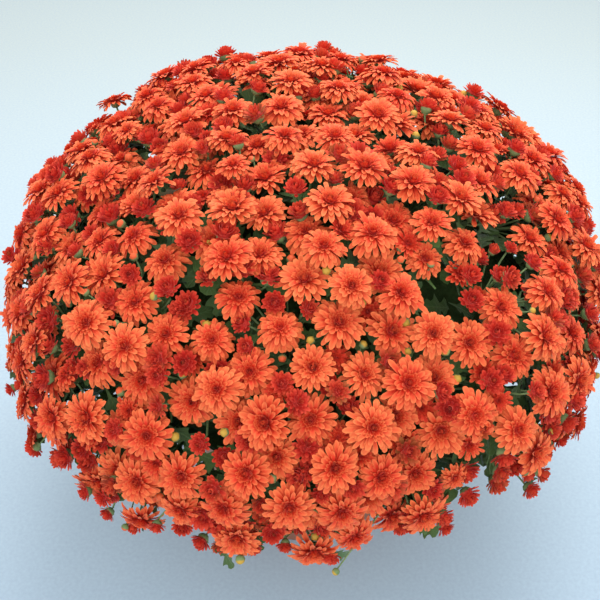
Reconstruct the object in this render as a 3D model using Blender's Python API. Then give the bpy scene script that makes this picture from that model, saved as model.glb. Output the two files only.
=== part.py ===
"""A pot chrysanthemum in full bloom: a dome of small double flowers over lobed leaves, in a plain pot.

Metres, Z up. The pot stands on z = 0 and the origin is the middle of its base. The plant is a leafy
bush whose branches end in sprays: each spray is a short stalk, a fork, and the flower stalks that
carry its open flowers and its half-open ones."""

import math
from itertools import combinations

import bmesh
import bpy
import numpy as np
from mathutils import Matrix, Vector
from mathutils.bvhtree import BVHTree
from mathutils.geometry import intersect_ray_tri

# Pot: thin plastic with a deeper band round its rim and drainage holes in its base
POT_HEIGHT = 0.185
POT_BASE_RADIUS = 0.098
POT_WALL_RADIUS = 0.1300
POT_RIM_RADIUS = 0.1350
POT_BAND_HEIGHT = 0.026
POT_BAND_STEP = 0.004
POT_THICKNESS = 0.0026
POT_FOOT_BEVEL = 0.003
POT_SIDES = 24
DRAIN_HOLES = 5
DRAIN_RADIUS = 0.007
DRAIN_CIRCLE = 0.074
DRAIN_SIDES = 5
DRAIN_CUT = (-0.002, 0.006)

# Soil: fills the pot to below its rim, a little mounded, with a plain hole for each main stem
FIT_GAP = 0.0003
SOIL_SIDE_GAP = 0.00036
SOIL_FOOT_INSET = 0.001
SOIL_TOP = 0.163
SOIL_EDGE_DROP = 0.006
SOIL_EDGE_INSET = 0.0005
SOIL_SHOULDER_DROP = 0.004
SOIL_MOUND = 0.008
SOIL_RINGS = 2
SOIL_WAVE = 0.0018
SOIL_WAVES_PER_METRE = (61, 83)
SOIL_WAVE_START = 2
STEM_HOLE_GAP = 0.0003
STEM_HOLE_RISE = 0.030

# Main stems: the first rises in the middle, and the others stand round it and spread under the bush.
# Their directions and circles sway by sines of the stem's number, each at its own pace.
MAIN_STEMS = 6
STEM_FOOT_CIRCLE = 0.040
STEM_HEAD_CIRCLE = 0.105
TURN_SWAY = 0.25
TURN_PACE = 3.1
FOOT_SWAY = 0.25
FOOT_PACE = 2.4
HEAD_SWAY = 0.2
HEAD_PACE = 1.7
STEM_FOOT_RADIUS = 0.0042
STEM_HEAD_RADIUS = 0.0030
STEM_SIDES = 4
STEM_BELOW_SOIL = 0.034
STEM_STRAIGHT_OVER_SOIL = 0.006
STEM_INTO_CORE = 0.030

# Dome: the surface that the flowers lie on, an ellipsoid with a shallower underside and slight lumps.
# The lumps are shares of its size.
DOME_RADIUS = 0.286
DOME_RISE = 0.196
DOME_DROP = 0.150
DOME_Z = 0.285
DOME_LOWEST = math.radians(115)
FLANK_FULLNESS = 0.5
CORNERS = 0.024
BULGES = 0.018
LUMPS = 0.008
SLOPE_STEP = 1e-4
SPIRAL_STATIONS = 2000
FULL_COVER = math.radians(82)
FLANK_COVER = 0.55

# Flowers on the dome. Levels are distances outside it, and the young flowers gather lower down.
SEED = 11
OPEN_FLOWERS = 370
HALF_OPEN_FLOWERS = 118
OPEN_RADIUS = (0.0182, 0.0214)
HALF_OPEN_RADIUS = (0.0072, 0.0096)
OPEN_LEVELS = (-0.0090, 0.0060)
HALF_OPEN_LEVELS = (-0.0140, 0.0020)
YOUNG_LOW_DOWN = 0.35
TURN_UP = 0.30
NOD = 0.045
MOST_NODS = 1.6
SETTLING_STEPS = 140
LONGEST_MOVE = 0.006
SAME_LEVEL = 0.0100
TOO_DEEP_TO_MEET = 0.03
PUSH_SHARE = 0.33
SIDE_BY_SIDE = 1.02
LAPPED = 0.62
GOLDEN_ANGLE = math.pi * (3 - math.sqrt(5))

# One open flower, as shares of its radius
PETALS = 6
NOTCH = 0.77
TIP_DROP = 0.16
NOTCH_DROP = 0.20
CROWN = 0.24
CALYX_DEPTH = 0.40

# One half-open flower, as shares of its radius
CUP_SIDES = 4
CUP_TOP = 0.85
CUP_DEPTH = 1.15

# Sprays: a stalk of three sides on the core, and a fork of twenty faces that the flower stalks start on
SPRAYS = 56
SPRAY_DEPTH = 0.052
SPRAY_ROOT_Z = 0.130
MOST_LEAN = math.radians(62)
LEANING_STEPS = 4
FAN_OUT = 1.75
MOST_FAN = math.radians(85)
EVENING_STEPS = 6
UNTANGLE_TRIES = 150
FARTHEST_TOUCHING_FORKS = 0.2
FORK_RADIUS = 0.0052
FORK_CORNERS = 12
STALK_SIDES = 3
STALK_FACES = 2 * STALK_SIDES
FLOWER_STALK_RADIUS = 0.0014
SEAT_GAP = 0.0003
SHORTEN = 0.94
MOST_SHORTENINGS = 14

# Core: the close leafy middle of the bush, under the sprays
CORE_INSET = 0.068
CORE_DROP = 0.095
CORE_SIDES = 14
CORE_RINGS = 7

# Leaves: pinnately lobed, as shares of the leaf's length from the stalk's foot to the tip
LEAF_LENGTH = (0.048, 0.062)
LEAF_OUTLINE = ((0.00, 0.030), (0.34, 0.17), (0.46, 0.10), (0.64, 0.27), (0.78, 0.11))
LEAF_MIDDLE = 0.60
LEAF_THICKNESS = 0.0016
LEAF_CROWN = 0.0012
LEAF_ARCH = 0.12
LEAF_SUNK = 0.008
LEAF_TURNS = (0, 0.5, -0.5, 1.0, -1.0)

# Where leaves grow: two rows of a skirt under the flowers, a collar over the pot's rim, and the rest in
# the gaps between the sprays. Dips are falls for each unit outward.
SKIRT_LEAVES = 16
SKIRT_ANGLES = (math.radians(118), math.radians(126))
SKIRT_DIPS = (0.12, 0.37)
SKIRT_SCATTER = 0.35
COLLAR_LEAVES = 13
COLLAR_ANGLE = math.radians(142)
COLLAR_DIP = 0.42
COLLAR_SCATTER = 0.3
GAP_LEAVES = 22
GAP_TRIES = 260
GAP_STRIDE = 97

SHARP_EDGE = math.radians(40)
TINY = 1e-9

COLOURS = {
    "pot": ((0.36, 0.13, 0.07), 0.55),
    "soil": ((0.035, 0.022, 0.015), 0.95),
    "leaf": ((0.045, 0.13, 0.035), 0.60),
    "petal": ((0.80, 0.13, 0.035), 0.65),
}


def material(name):
    """A plain Principled material in one of COLOURS."""
    found = bpy.data.materials.get(name)
    if found:
        return found
    colour, roughness = COLOURS[name]
    made = bpy.data.materials.new(name)
    made.use_nodes = True
    shader = made.node_tree.nodes["Principled BSDF"]
    shader.inputs["Base Color"].default_value = (*colour, 1)
    shader.inputs["Roughness"].default_value = roughness
    shader.inputs["Metallic"].default_value = 0
    return made


def add_object(name, points, faces, colour, collection=None):
    """A mesh object from points and faces, shaded smooth but for its sharp edges."""
    mesh = bpy.data.meshes.new(name)
    mesh.from_pydata([tuple(p) for p in points], [], faces)
    mesh.materials.append(material(colour))
    mesh.validate()
    mesh.shade_smooth()
    mesh.set_sharp_from_angle(angle=SHARP_EDGE)
    made = bpy.data.objects.new(name, mesh)
    (collection or bpy.context.scene.collection).objects.link(made)
    return made


def turned(profile, sides):
    """Points and faces of an outline (radius, height) turned about Z. It starts and ends on the axis."""
    points, faces = [(0.0, 0.0, profile[0][1])], []
    rings = profile[1:-1]
    for radius, height in rings:
        for k in range(sides):
            angle = 2 * math.pi * k / sides
            points.append((radius * math.cos(angle), radius * math.sin(angle), height))
    points.append((0.0, 0.0, profile[-1][1]))
    last = len(points) - 1
    for k in range(sides):
        after = (k + 1) % sides
        faces.append((0, 1 + after, 1 + k))
        for ring in range(len(rings) - 1):
            low, high = 1 + ring * sides, 1 + (ring + 1) * sides
            faces.append((low + k, low + after, high + after, high + k))
        top = 1 + (len(rings) - 1) * sides
        faces.append((top + k, top + after, last))
    return points, faces


def stand_at(piece, place, parent):
    """Puts a piece's origin at a place, under a parent, and leaves its surface where it is."""
    piece.data.transform(Matrix.Translation(-place))
    piece.parent = parent
    piece.location = place - parent.location


def combine(target, operation, pieces):
    """Joins or cuts a collection's pieces into target, which becomes plain mesh, and removes them."""
    modifier = target.modifiers.new(operation.lower(), "BOOLEAN")
    modifier.operation = operation
    modifier.solver = "EXACT"
    modifier.operand_type = "COLLECTION"
    modifier.collection = pieces
    graph = bpy.context.evaluated_depsgraph_get()
    result = bpy.data.meshes.new_from_object(target.evaluated_get(graph))
    target.modifiers.clear()
    target.data = result
    for piece in list(pieces.objects):
        bpy.data.objects.remove(piece)
    bpy.data.collections.remove(pieces)


def new_collection(name):
    """A collection in the scene for pieces that are joined or cut."""
    made = bpy.data.collections.new(name)
    bpy.context.scene.collection.children.link(made)
    return made


def between(bounds, share):
    """The value that lies a share of the way between two bounds."""
    return bounds[0] + share * (bounds[1] - bounds[0])


def pot_radius_at(height):
    """The outer radius of the tapered wall at a height."""
    share = height / (POT_HEIGHT - POT_BAND_HEIGHT)
    return POT_BASE_RADIUS + (POT_WALL_RADIUS - POT_BASE_RADIUS) * share


def build_pot():
    """The pot's wall, base and rim band as one turned shell, with round holes cut through its base."""
    band = POT_HEIGHT - POT_BAND_HEIGHT
    outline = [
        (0, 0),
        (POT_BASE_RADIUS - POT_FOOT_BEVEL, 0),
        (pot_radius_at(POT_FOOT_BEVEL), POT_FOOT_BEVEL),
        (POT_WALL_RADIUS, band),
        (POT_RIM_RADIUS, band + POT_BAND_STEP),
        (POT_RIM_RADIUS, POT_HEIGHT),
        (POT_RIM_RADIUS - POT_THICKNESS, POT_HEIGHT),
        (POT_RIM_RADIUS - POT_THICKNESS, band + POT_BAND_STEP),
        (POT_WALL_RADIUS - POT_THICKNESS, band),
        (pot_radius_at(POT_THICKNESS) - POT_THICKNESS, POT_THICKNESS),
        (0, POT_THICKNESS),
    ]
    pot = add_object("pot", *turned(outline, POT_SIDES), "pot")
    low, high = DRAIN_CUT
    drain = turned([(0, low), (DRAIN_RADIUS, low), (DRAIN_RADIUS, high), (0, high)], DRAIN_SIDES)
    cutters = new_collection("drain_cutters")
    for k in range(DRAIN_HOLES):
        angle = 2 * math.pi * k / DRAIN_HOLES
        cutter = add_object("drain", *drain, "pot", cutters)
        cutter.location = (DRAIN_CIRCLE * math.cos(angle), DRAIN_CIRCLE * math.sin(angle), 0)
    bpy.context.view_layer.update()
    combine(pot, "DIFFERENCE", cutters)


def main_stem_line(k):
    """The middle line of a main stem: foot in the soil, foot at the soil's top, and head inside the bush."""
    angle = 2 * math.pi * k / MAIN_STEMS + TURN_SWAY * math.sin(TURN_PACE * k)
    along = Vector((math.cos(angle), math.sin(angle), 0)) * (k > 0)
    foot = along * STEM_FOOT_CIRCLE * (1 - FOOT_SWAY + FOOT_SWAY * math.cos(FOOT_PACE * k))
    head = along * STEM_HEAD_CIRCLE * (1 - HEAD_SWAY + HEAD_SWAY * math.sin(HEAD_PACE * k))
    return [
        foot + Vector((0, 0, SOIL_TOP - STEM_BELOW_SOIL)),
        foot + Vector((0, 0, SOIL_TOP + STEM_STRAIGHT_OVER_SOIL)),
        head + Vector((0, 0, DOME_Z - CORE_DROP + STEM_INTO_CORE)),
    ]


def tube(line, radii, sides):
    """Points and faces of a closed tube of level rings through a line that rises."""
    points, faces = [], []
    for centre, radius in zip(line, radii):
        for k in range(sides):
            angle = 2 * math.pi * k / sides
            points.append(centre + Vector((math.cos(angle), math.sin(angle), 0)) * radius)
    for ring in range(len(line) - 1):
        low = ring * sides
        for k in range(sides):
            after = (k + 1) % sides
            faces.append((low + k, low + after, low + sides + after, low + sides + k))
    faces.append(tuple(range(sides - 1, -1, -1)))
    faces.append(tuple(range(len(points) - sides, len(points))))
    return points, faces


def soil_outline():
    """The soil's outline (radius, height): its flat floor, its side, and the mound of its top."""
    floor = POT_THICKNESS + FIT_GAP
    side_gap = POT_THICKNESS + SOIL_SIDE_GAP
    shoulder = SOIL_TOP - SOIL_SHOULDER_DROP
    edge = pot_radius_at(shoulder) - side_gap
    outline = [(0, floor), (pot_radius_at(floor) - side_gap - SOIL_FOOT_INSET, floor)]
    outline.append((edge - SOIL_EDGE_INSET, SOIL_TOP - SOIL_EDGE_DROP))
    for ring in range(1, SOIL_RINGS + 1):
        share = 1 - ring / SOIL_RINGS
        outline.append((edge * share, shoulder + SOIL_MOUND * (1 - share * share)))
    return outline


def waved(point):
    """A point of the soil, raised or lowered by small waves if it lies on the mound."""
    x, y, z = point
    if z < SOIL_TOP - SOIL_EDGE_DROP / 2 - SOIL_SHOULDER_DROP / 2:
        return point
    along, over = SOIL_WAVES_PER_METRE
    return x, y, z + SOIL_WAVE * math.sin(along * x + SOIL_WAVE_START) * math.cos(over * y)


def build_soil():
    """The soil as one block that fits the pot's inside, with its mound and its stem holes."""
    points, faces = turned(soil_outline(), POT_SIDES)
    soil = add_object("soil", [waved(p) for p in points], faces, "soil")
    cutters = new_collection("stem_cutters")
    radius = STEM_FOOT_RADIUS + STEM_HOLE_GAP / math.cos(math.pi / STEM_SIDES)
    for k in range(MAIN_STEMS):
        low = main_stem_line(k)[0] - Vector((0, 0, FIT_GAP))
        high = Vector((low.x, low.y, SOIL_TOP + STEM_HOLE_RISE))
        add_object("hole", *tube([low, high], [radius, radius], STEM_SIDES), "soil", cutters)
    combine(soil, "DIFFERENCE", cutters)


def dome_points(theta, phi):
    """Points of the dome at an angle down from its top and an angle round it. It is an ellipsoid with an
    upright flank, times 1 plus waves: four broad corners, eight low bulges, and finer lumps."""
    waves = BULGES * np.cos(8 * phi) - CORNERS * np.cos(4 * phi)
    waves = waves + LUMPS * (np.sin(3 * phi + 0.6) + np.sin(11 * phi + 5 * theta))
    lump = 1 + np.sin(theta) * waves + LUMPS * np.cos(6 * theta + 2 * phi)
    rise = np.where(theta < math.pi / 2, DOME_RISE, DOME_DROP)
    power = np.where(theta < math.pi / 2, 1.0, FLANK_FULLNESS)
    radius = DOME_RADIUS * np.abs(np.sin(theta)) ** power * lump
    height = DOME_Z + rise * np.cos(theta) * lump
    return np.stack([radius * np.cos(phi), radius * np.sin(phi), height], axis=-1)


def dome_normals(theta, phi):
    """Outward unit normals of the dome, from the cross product of its two slopes."""
    down = dome_points(theta + SLOPE_STEP, phi) - dome_points(theta - SLOPE_STEP, phi)
    round_it = dome_points(theta, phi + SLOPE_STEP) - dome_points(theta, phi - SLOPE_STEP)
    normal = np.cross(down, round_it)
    return normal / np.linalg.norm(normal, axis=-1, keepdims=True)


def spiral_on_dome(count):
    """Angles of points wound evenly over the dome by the golden angle, thinner below FULL_COVER."""
    theta = np.linspace(0.0, DOME_LOWEST, SPIRAL_STATIONS)
    ring = np.linalg.norm(np.diff(dome_points(theta, theta * 0), axis=0), axis=1)
    middle = (theta[1:] + theta[:-1]) / 2
    fade = np.clip((middle - FULL_COVER) / (DOME_LOWEST - FULL_COVER), 0, 1)
    share = 2 * math.pi * DOME_RADIUS * np.sin(middle) * ring * (1 - (1 - FLANK_COVER) * fade)
    area = np.concatenate([[0], np.cumsum(share)])
    wanted = (np.arange(count) + 0.5) / count * area[-1]
    return np.interp(wanted, area, theta), np.arange(count) * GOLDEN_ANGLE


def angles_of(points):
    """The dome's two angles for points near it, apart from its waves."""
    radius = np.hypot(points[:, 0], points[:, 1]) / DOME_RADIUS
    up = points[:, 2] - DOME_Z
    up = up / np.where(up > 0, DOME_RISE, DOME_DROP)
    return np.arctan2(radius, up), np.arctan2(points[:, 1], points[:, 0])


def moved_on_dome(theta, phi, target):
    """The angles after a move towards target points. A move of nothing changes nothing."""
    from_theta, from_phi = angles_of(dome_points(theta, phi))
    to_theta, to_phi = angles_of(target)
    round_it = np.angle(np.exp(1j * (to_phi - from_phi)))
    return np.clip(theta + to_theta - from_theta, 0.0, DOME_LOWEST), phi + round_it


def chosen_flowers(theta, draw):
    """Which flowers are half open, and every flower's radius and level, by their angle down the dome."""
    count = len(theta)
    order = draw.rand(count) + YOUNG_LOW_DOWN * (theta / DOME_LOWEST)
    half_open = np.zeros(count, bool)
    half_open[np.argsort(order)[OPEN_FLOWERS:]] = True
    size = draw.rand(count)
    radius = np.where(half_open, between(HALF_OPEN_RADIUS, size), between(OPEN_RADIUS, size))
    upper = draw.rand(count) > 0.5
    open_level = np.where(upper, OPEN_LEVELS[1], OPEN_LEVELS[0])
    level = np.where(half_open, between(HALF_OPEN_LEVELS, draw.rand(count)), open_level)
    return half_open, radius, level


def pushes(middle, axis, reach):
    """How far each flower is pushed sideways by those that it overlaps. Flowers at one level lie side by
    side, and flowers at two levels lap a little."""
    apart = middle[:, None] - middle[None, :]
    common = axis[:, None] + axis[None, :]
    common /= np.linalg.norm(common, axis=2, keepdims=True)
    depth = (apart * common).sum(axis=2)
    sideways = apart - depth[..., None] * common
    distance = np.linalg.norm(sideways, axis=2) + TINY
    wanted = reach * np.where(np.abs(depth) < SAME_LEVEL, SIDE_BY_SIDE, LAPPED)
    wanted[np.abs(depth) > TOO_DEEP_TO_MEET] = 0
    np.fill_diagonal(wanted, 0)
    push = np.clip(wanted - distance, 0, None) / distance
    return (sideways * push[..., None]).sum(axis=1) * PUSH_SHARE


def place_flowers():
    """Every flower's middle, axis, radius, spin and kind. They start on the spiral and push each other
    aside, a little at each step."""
    draw = np.random.RandomState(SEED)
    count = OPEN_FLOWERS + HALF_OPEN_FLOWERS
    theta, phi = spiral_on_dome(count)
    half_open, radius, level = chosen_flowers(theta, draw)
    nod = NOD * np.clip(draw.randn(count, 3), -MOST_NODS, MOST_NODS)
    spin = draw.rand(count) * 2 * math.pi
    reach = radius[:, None] + radius[None, :]
    for _ in range(SETTLING_STEPS):
        normal = dome_normals(theta, phi)
        axis = normal + nod + np.array([0, 0, TURN_UP])
        axis /= np.linalg.norm(axis, axis=1, keepdims=True)
        middle = dome_points(theta, phi) + normal * level[:, None]
        shift = np.clip(pushes(middle, axis, reach), -LONGEST_MOVE, LONGEST_MOVE)
        theta, phi = moved_on_dome(theta, phi, dome_points(theta, phi) + shift)
    return middle, axis, radius, spin, half_open


def core_points(theta, phi):
    """The bush's leafy middle: the dome drawn in by CORE_INSET, with a shallow bowl for its underside."""
    rise = np.where(theta < math.pi / 2, DOME_RISE - CORE_INSET, CORE_DROP)
    radius = (DOME_RADIUS - CORE_INSET) * np.sin(theta)
    height = DOME_Z + rise * np.cos(theta)
    return np.stack([radius * np.cos(phi), radius * np.sin(phi), height], axis=-1)


def core_mesh():
    """Points and faces of the core, from its underside to its top."""
    outline = [
        (float(np.hypot(*core_points(t, 0.0)[:2])), float(core_points(t, 0.0)[2]))
        for t in np.linspace(math.pi, 0.0, CORE_RINGS + 1)
    ]
    return turned(outline, CORE_SIDES)


def tree_of(points, faces):
    """A search tree over triangles, for rays and overlaps."""
    return BVHTree.FromPolygons([tuple(p) for p in points], faces, all_triangles=False)


def axes_across(axis, spin=0.0):
    """Two unit vectors square to axis and to each other, turned about it by spin."""
    axis = Vector(axis).normalized()
    side = axis.cross(Vector((0, 0, 1)) if abs(axis.z) < 0.9 else Vector((1, 0, 0))).normalized()
    side = Matrix.Rotation(spin, 3, axis) @ side
    return side, axis.cross(side)


def ring_points(middle, axis, spin, radii, heights):
    """Points round an axis at equal angles, each at its own radius and height."""
    side, other = axes_across(axis, spin)
    count = len(radii)
    return [
        middle
        + (side * math.cos(2 * math.pi * k / count) + other * math.sin(2 * math.pi * k / count)) * radii[k]
        + axis * heights[k]
        for k in range(count)
    ]


def stitch(inner, outer, middle, axis, points):
    """Triangles between two rings of point indices that both run anticlockwise seen along axis from its tip.
    They face away from the axis and down."""
    side, other = axes_across(axis)

    def angle(index):
        away = points[index] - middle
        return math.atan2(away.dot(other), away.dot(side)) % (2 * math.pi)

    inner = sorted(inner, key=angle)
    outer = sorted(outer, key=angle)
    faces, a, b = [], 0, 0
    while a < len(inner) or b < len(outer):
        next_a = angle(inner[a % len(inner)]) + 2 * math.pi * (a // len(inner))
        next_b = angle(outer[b % len(outer)]) + 2 * math.pi * (b // len(outer))
        here_a, here_b = inner[(a - 1) % len(inner)], outer[(b - 1) % len(outer)]
        if b >= len(outer) or (a < len(inner) and next_a <= next_b):
            faces.append((here_a, inner[a % len(inner)], here_b))
            a += 1
        else:
            faces.append((here_a, outer[b % len(outer)], here_b))
            b += 1
    return faces


def icosahedron():
    """The 12 corners of a unit icosahedron that stands on a face, and its 20 faces."""
    solid = bmesh.new()
    bmesh.ops.create_icosphere(solid, subdivisions=1, radius=1.0)
    solid.verts.ensure_lookup_table()
    solid.faces.ensure_lookup_table()
    down = solid.faces[0].normal.copy()
    turn = down.rotation_difference(Vector((0, 0, -1))).to_matrix()
    corners = [turn @ v.co for v in solid.verts]
    faces = [tuple(v.index for v in f.verts) for f in solid.faces]
    solid.free()
    return corners, faces


def fanned(direction):
    """A direction tipped further from Z, so that a spray's stalks spread over its fork's upper half."""
    level = math.hypot(direction.x, direction.y)
    tip = min(math.atan2(level, direction.z) * FAN_OUT, MOST_FAN)
    share = math.sin(tip) / max(level, TINY)
    return Vector((direction.x * share, direction.y * share, math.cos(tip)))


def swaps(chosen, score):
    """Gives each flower in turn a better face, from those free or from another flower if both together
    gain by it. Returns whether any changed."""
    changed = False
    for a in range(len(score)):
        for face in range(len(score[a])):
            b = chosen.index(face) if face in chosen else None
            if a == b:
                continue
            before = score[a][chosen[a]] + (0 if b is None else score[b][face])
            after = score[a][face] + (0 if b is None else score[b][chosen[a]])
            if after > before + TINY:
                if b is not None:
                    chosen[b] = chosen[a]
                chosen[a] = face
                changed = True
    return changed


def share_faces(faces, corners, directions):
    """The fork's seat, its lowest face, and one other face for each flower stalk: the best match of the
    faces and the stalks' directions that swaps can reach."""
    facing = [sum((corners[i] for i in face), Vector()).normalized() for face in faces]
    seat = min(range(len(faces)), key=lambda f: facing[f].z)
    free = [f for f in range(len(faces)) if f != seat]
    score = [[facing[f].dot(d) for f in free] for d in directions]
    chosen = []
    for row in score:
        left = [k for k in range(len(free)) if k not in chosen]
        chosen.append(max(left, key=lambda k: row[k]))
    while swaps(chosen, score):
        pass
    return seat, [free[k] for k in chosen]


def add_sides(faces, low, high):
    """Two triangles for each side between two rings of point indices."""
    for k in range(len(low)):
        after = (k + 1) % len(low)
        faces.append((low[k], low[after], high[after]))
        faces.append((low[k], high[after], high[k]))


class Flower:
    """One flower on its stalk, sized by a scale that neighbours can shorten."""

    def __init__(self, middle, axis, radius, spin, half_open):
        self.middle, self.axis = Vector(middle), Vector(axis)
        self.radius, self.spin, self.half_open = float(radius), float(spin), bool(half_open)

    def lean(self, fork):
        """Turns the flower towards its stalk's direction where the two are more than MOST_LEAN apart."""
        for _ in range(LEANING_STEPS):
            stalk = (self.calyx() - fork).normalized()
            apart = self.axis.angle(stalk)
            if apart > MOST_LEAN:
                self.axis = self.axis.slerp(stalk, 1 - MOST_LEAN / apart).normalized()

    def calyx(self):
        depth = CUP_DEPTH if self.half_open else CALYX_DEPTH
        return self.middle - self.axis * (self.radius * depth)

    def rim(self):
        """The outline: petal tips and the notches between them, or the edge of the half-open cup."""
        if self.half_open:
            return ring_points(self.middle, self.axis, self.spin, [self.radius] * CUP_SIDES, [0] * CUP_SIDES)
        tip, notch = self.radius, self.radius * NOTCH
        radii = [tip, notch] * PETALS
        heights = [-self.radius * TIP_DROP, -self.radius * NOTCH_DROP] * PETALS
        return ring_points(self.middle, self.axis, self.spin, radii, heights)

    def top(self):
        return self.middle + self.axis * self.radius * (CUP_TOP if self.half_open else CROWN)

    def face_count(self):
        """The stalk's faces, the underside's and the face's."""
        outline = CUP_SIDES if self.half_open else 2 * PETALS
        return STALK_FACES + (STALK_SIDES + outline) + outline

    def grow(self, points, faces, foot):
        """Adds the stalk from the foot's three corners, then the flower's underside and its face."""
        start = points[foot[0]] - sum((points[i] for i in foot), Vector()) / STALK_SIDES
        side, other = axes_across(self.axis)
        turn = math.atan2(start.dot(other), start.dot(side))
        neck = list(range(len(points), len(points) + STALK_SIDES))
        radii, heights = [FLOWER_STALK_RADIUS] * STALK_SIDES, [0] * STALK_SIDES
        points += ring_points(self.calyx(), self.axis, turn, radii, heights)
        add_sides(faces, foot, neck)
        rim = self.rim()
        outline = list(range(len(points), len(points) + len(rim)))
        points += rim
        faces += stitch(neck, outline, self.calyx(), self.axis, points)
        points.append(self.top())
        for k, here in enumerate(outline):
            faces.append((here, outline[(k + 1) % len(outline)], len(points) - 1))


class Spray:
    """A branch end: a stalk that stands on the core, a fork, and the fork's flowers."""

    def __init__(self, middle, normal, flowers):
        self.flowers = flowers
        root = Vector((0, 0, SPRAY_ROOT_Z))
        self.axis = (Vector(normal) + (Vector(middle) - root).normalized()).normalized()
        self.fork = Vector(middle) - self.axis * SPRAY_DEPTH
        for flower in flowers:
            flower.lean(self.fork)
        corners, self.fork_faces = icosahedron()
        turn = Vector((0, 0, 1)).rotation_difference(self.axis).to_matrix()
        back = turn.transposed()
        directions = [fanned(back @ (f.calyx() - self.fork)) for f in flowers]
        self.seat, self.chosen = share_faces(self.fork_faces, corners, directions)
        self.corners = [self.fork + turn @ (c * FORK_RADIUS) for c in corners]

    def mesh(self, core):
        """Points and faces of the whole spray as one closed surface."""
        used = [self.seat, *self.chosen]
        points = list(self.corners)
        faces = [f for k, f in enumerate(self.fork_faces) if k not in used]
        self.add_stalk(points, faces, self.fork_faces[self.seat], core)
        for flower, face in zip(self.flowers, self.chosen):
            flower.grow(points, faces, self.fork_faces[face])
        return points, faces

    def flower_of(self, face):
        """The flower that a face of the whole mesh belongs to, or the first."""
        first = len(self.fork_faces) - len(self.chosen) - 1 + STALK_FACES + 1
        for number, flower in enumerate(self.flowers):
            first += flower.face_count()
            if face < first:
                return number
        return 0

    def drop(self, number):
        """Leaves out one flower."""
        del self.flowers[number]
        del self.chosen[number]

    def flower_surface(self, number):
        """One of the flowers alone with its stalk. The first points are the fork's corners."""
        points, faces = list(self.corners), []
        self.flowers[number].grow(points, faces, self.fork_faces[self.chosen[number]])
        return points, faces

    def add_stalk(self, points, faces, seat, core):
        """Three sides from the fork's lowest face down to a foot that stands flat on a facet of the core."""
        foot = tuple(range(len(points), len(points) + STALK_SIDES))
        hit, normal, _, _ = core.ray_cast(self.fork, -self.axis)
        for index in seat:
            rise = (points[index] - hit).dot(normal) - SEAT_GAP
            points.append(points[index] - self.axis * (rise / self.axis.dot(normal)))
        add_sides(faces, seat, foot)
        faces.append(foot)


def make_sprays():
    """The flowers shared out to the nearest of SPRAYS branch ends, which move to their flowers' middle."""
    middle, axis, radius, spin, half_open = place_flowers()
    theta, phi = spiral_on_dome(SPRAYS)
    for _ in range(EVENING_STEPS):
        centres = dome_points(theta, phi)
        nearest = np.argmin(np.linalg.norm(middle[:, None] - centres[None], axis=2), axis=1)
        means = np.array([middle[nearest == s].mean(axis=0) for s in range(SPRAYS)])
        theta, phi = moved_on_dome(theta, phi, means)
    centres, normals = dome_points(theta, phi), dome_normals(theta, phi)
    sprays = []
    for s in range(SPRAYS):
        own = np.flatnonzero(nearest == s)
        flowers = [Flower(middle[i], axis[i], radius[i], spin[i], half_open[i]) for i in own]
        sprays.append(Spray(centres[s], normals[s], flowers))
    return sprays


def far_edge_cuts(points, face, corner, other_points, other_face):
    """Whether the edge of a triangle that is opposite a corner passes through another triangle."""
    start, end = [points[i] for i in face if i != corner]
    hit = intersect_ray_tri(*[other_points[i] for i in other_face], end - start, start, True)
    return hit is not None and (hit - start).length <= (end - start).length


def pass_through(points, face, other_points, other_face, shared):
    """Whether two triangles that are near each other, and share these corners, pass through each other."""
    if not shared:
        return True
    return len(shared) == 1 and (
        far_edge_cuts(points, face, shared[0], other_points, other_face)
        or far_edge_cuts(other_points, other_face, shared[0], points, face)
    )


def touch(one, other, same_fork):
    """Whether two flowers with their stalks touch, apart from the fork's corners that they may share."""
    (points, faces, tree), (other_points, other_faces, other_tree) = one, other
    for a, b in tree.overlap(other_tree):
        first, second = faces[a], other_faces[b]
        shared = [i for i in first if i < FORK_CORNERS and i in second] if same_fork else []
        if pass_through(points, first, other_points, second, shared):
            return True
    return False


def near(spray, other):
    """Whether two sprays are close enough for their flowers to meet."""
    return (spray.fork - other.fork).length < FARTHEST_TOUCHING_FORKS


def clear_neighbours(sprays):
    """Shortens the petals of the larger of two flowers that touch, until none do."""
    entries = [(spray, k, flower) for spray in sprays for k, flower in enumerate(spray.flowers)]
    surfaces, changed = {}, set(range(len(entries)))
    for _ in range(MOST_SHORTENINGS):
        for n in changed:
            points, faces = entries[n][0].flower_surface(entries[n][1])
            surfaces[n] = (points, faces, tree_of(points, faces))
        touching = set()
        for a, b in combinations(range(len(entries)), 2):
            (spray, _, flower), (other_spray, _, other) = entries[a], entries[b]
            if (a in changed or b in changed) and near(spray, other_spray):
                if touch(surfaces[a], surfaces[b], spray is other_spray):
                    touching.add(a if flower.radius > other.radius else b)
        for n in touching:
            entries[n][2].radius *= SHORTEN
        changed = touching
        if not changed:
            return


def crossing_faces(points, faces):
    """The faces of a spray that pass through another of its faces, once for each time."""
    tree, found = tree_of(points, faces), []
    for a, b in tree.overlap(tree):
        shared = [i for i in faces[a] if i in faces[b]]
        if a < b and pass_through(points, faces[a], points, faces[b], shared):
            found += [a, b]
    return found


def faults(spray, core, near_trees):
    """How often a spray's faces pass through each other or through the sprays near it."""
    points, faces = spray.mesh(core)
    own = tree_of(points, faces)
    return len(crossing_faces(points, faces)) + sum(len(own.overlap(tree)) for tree in near_trees)


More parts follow.
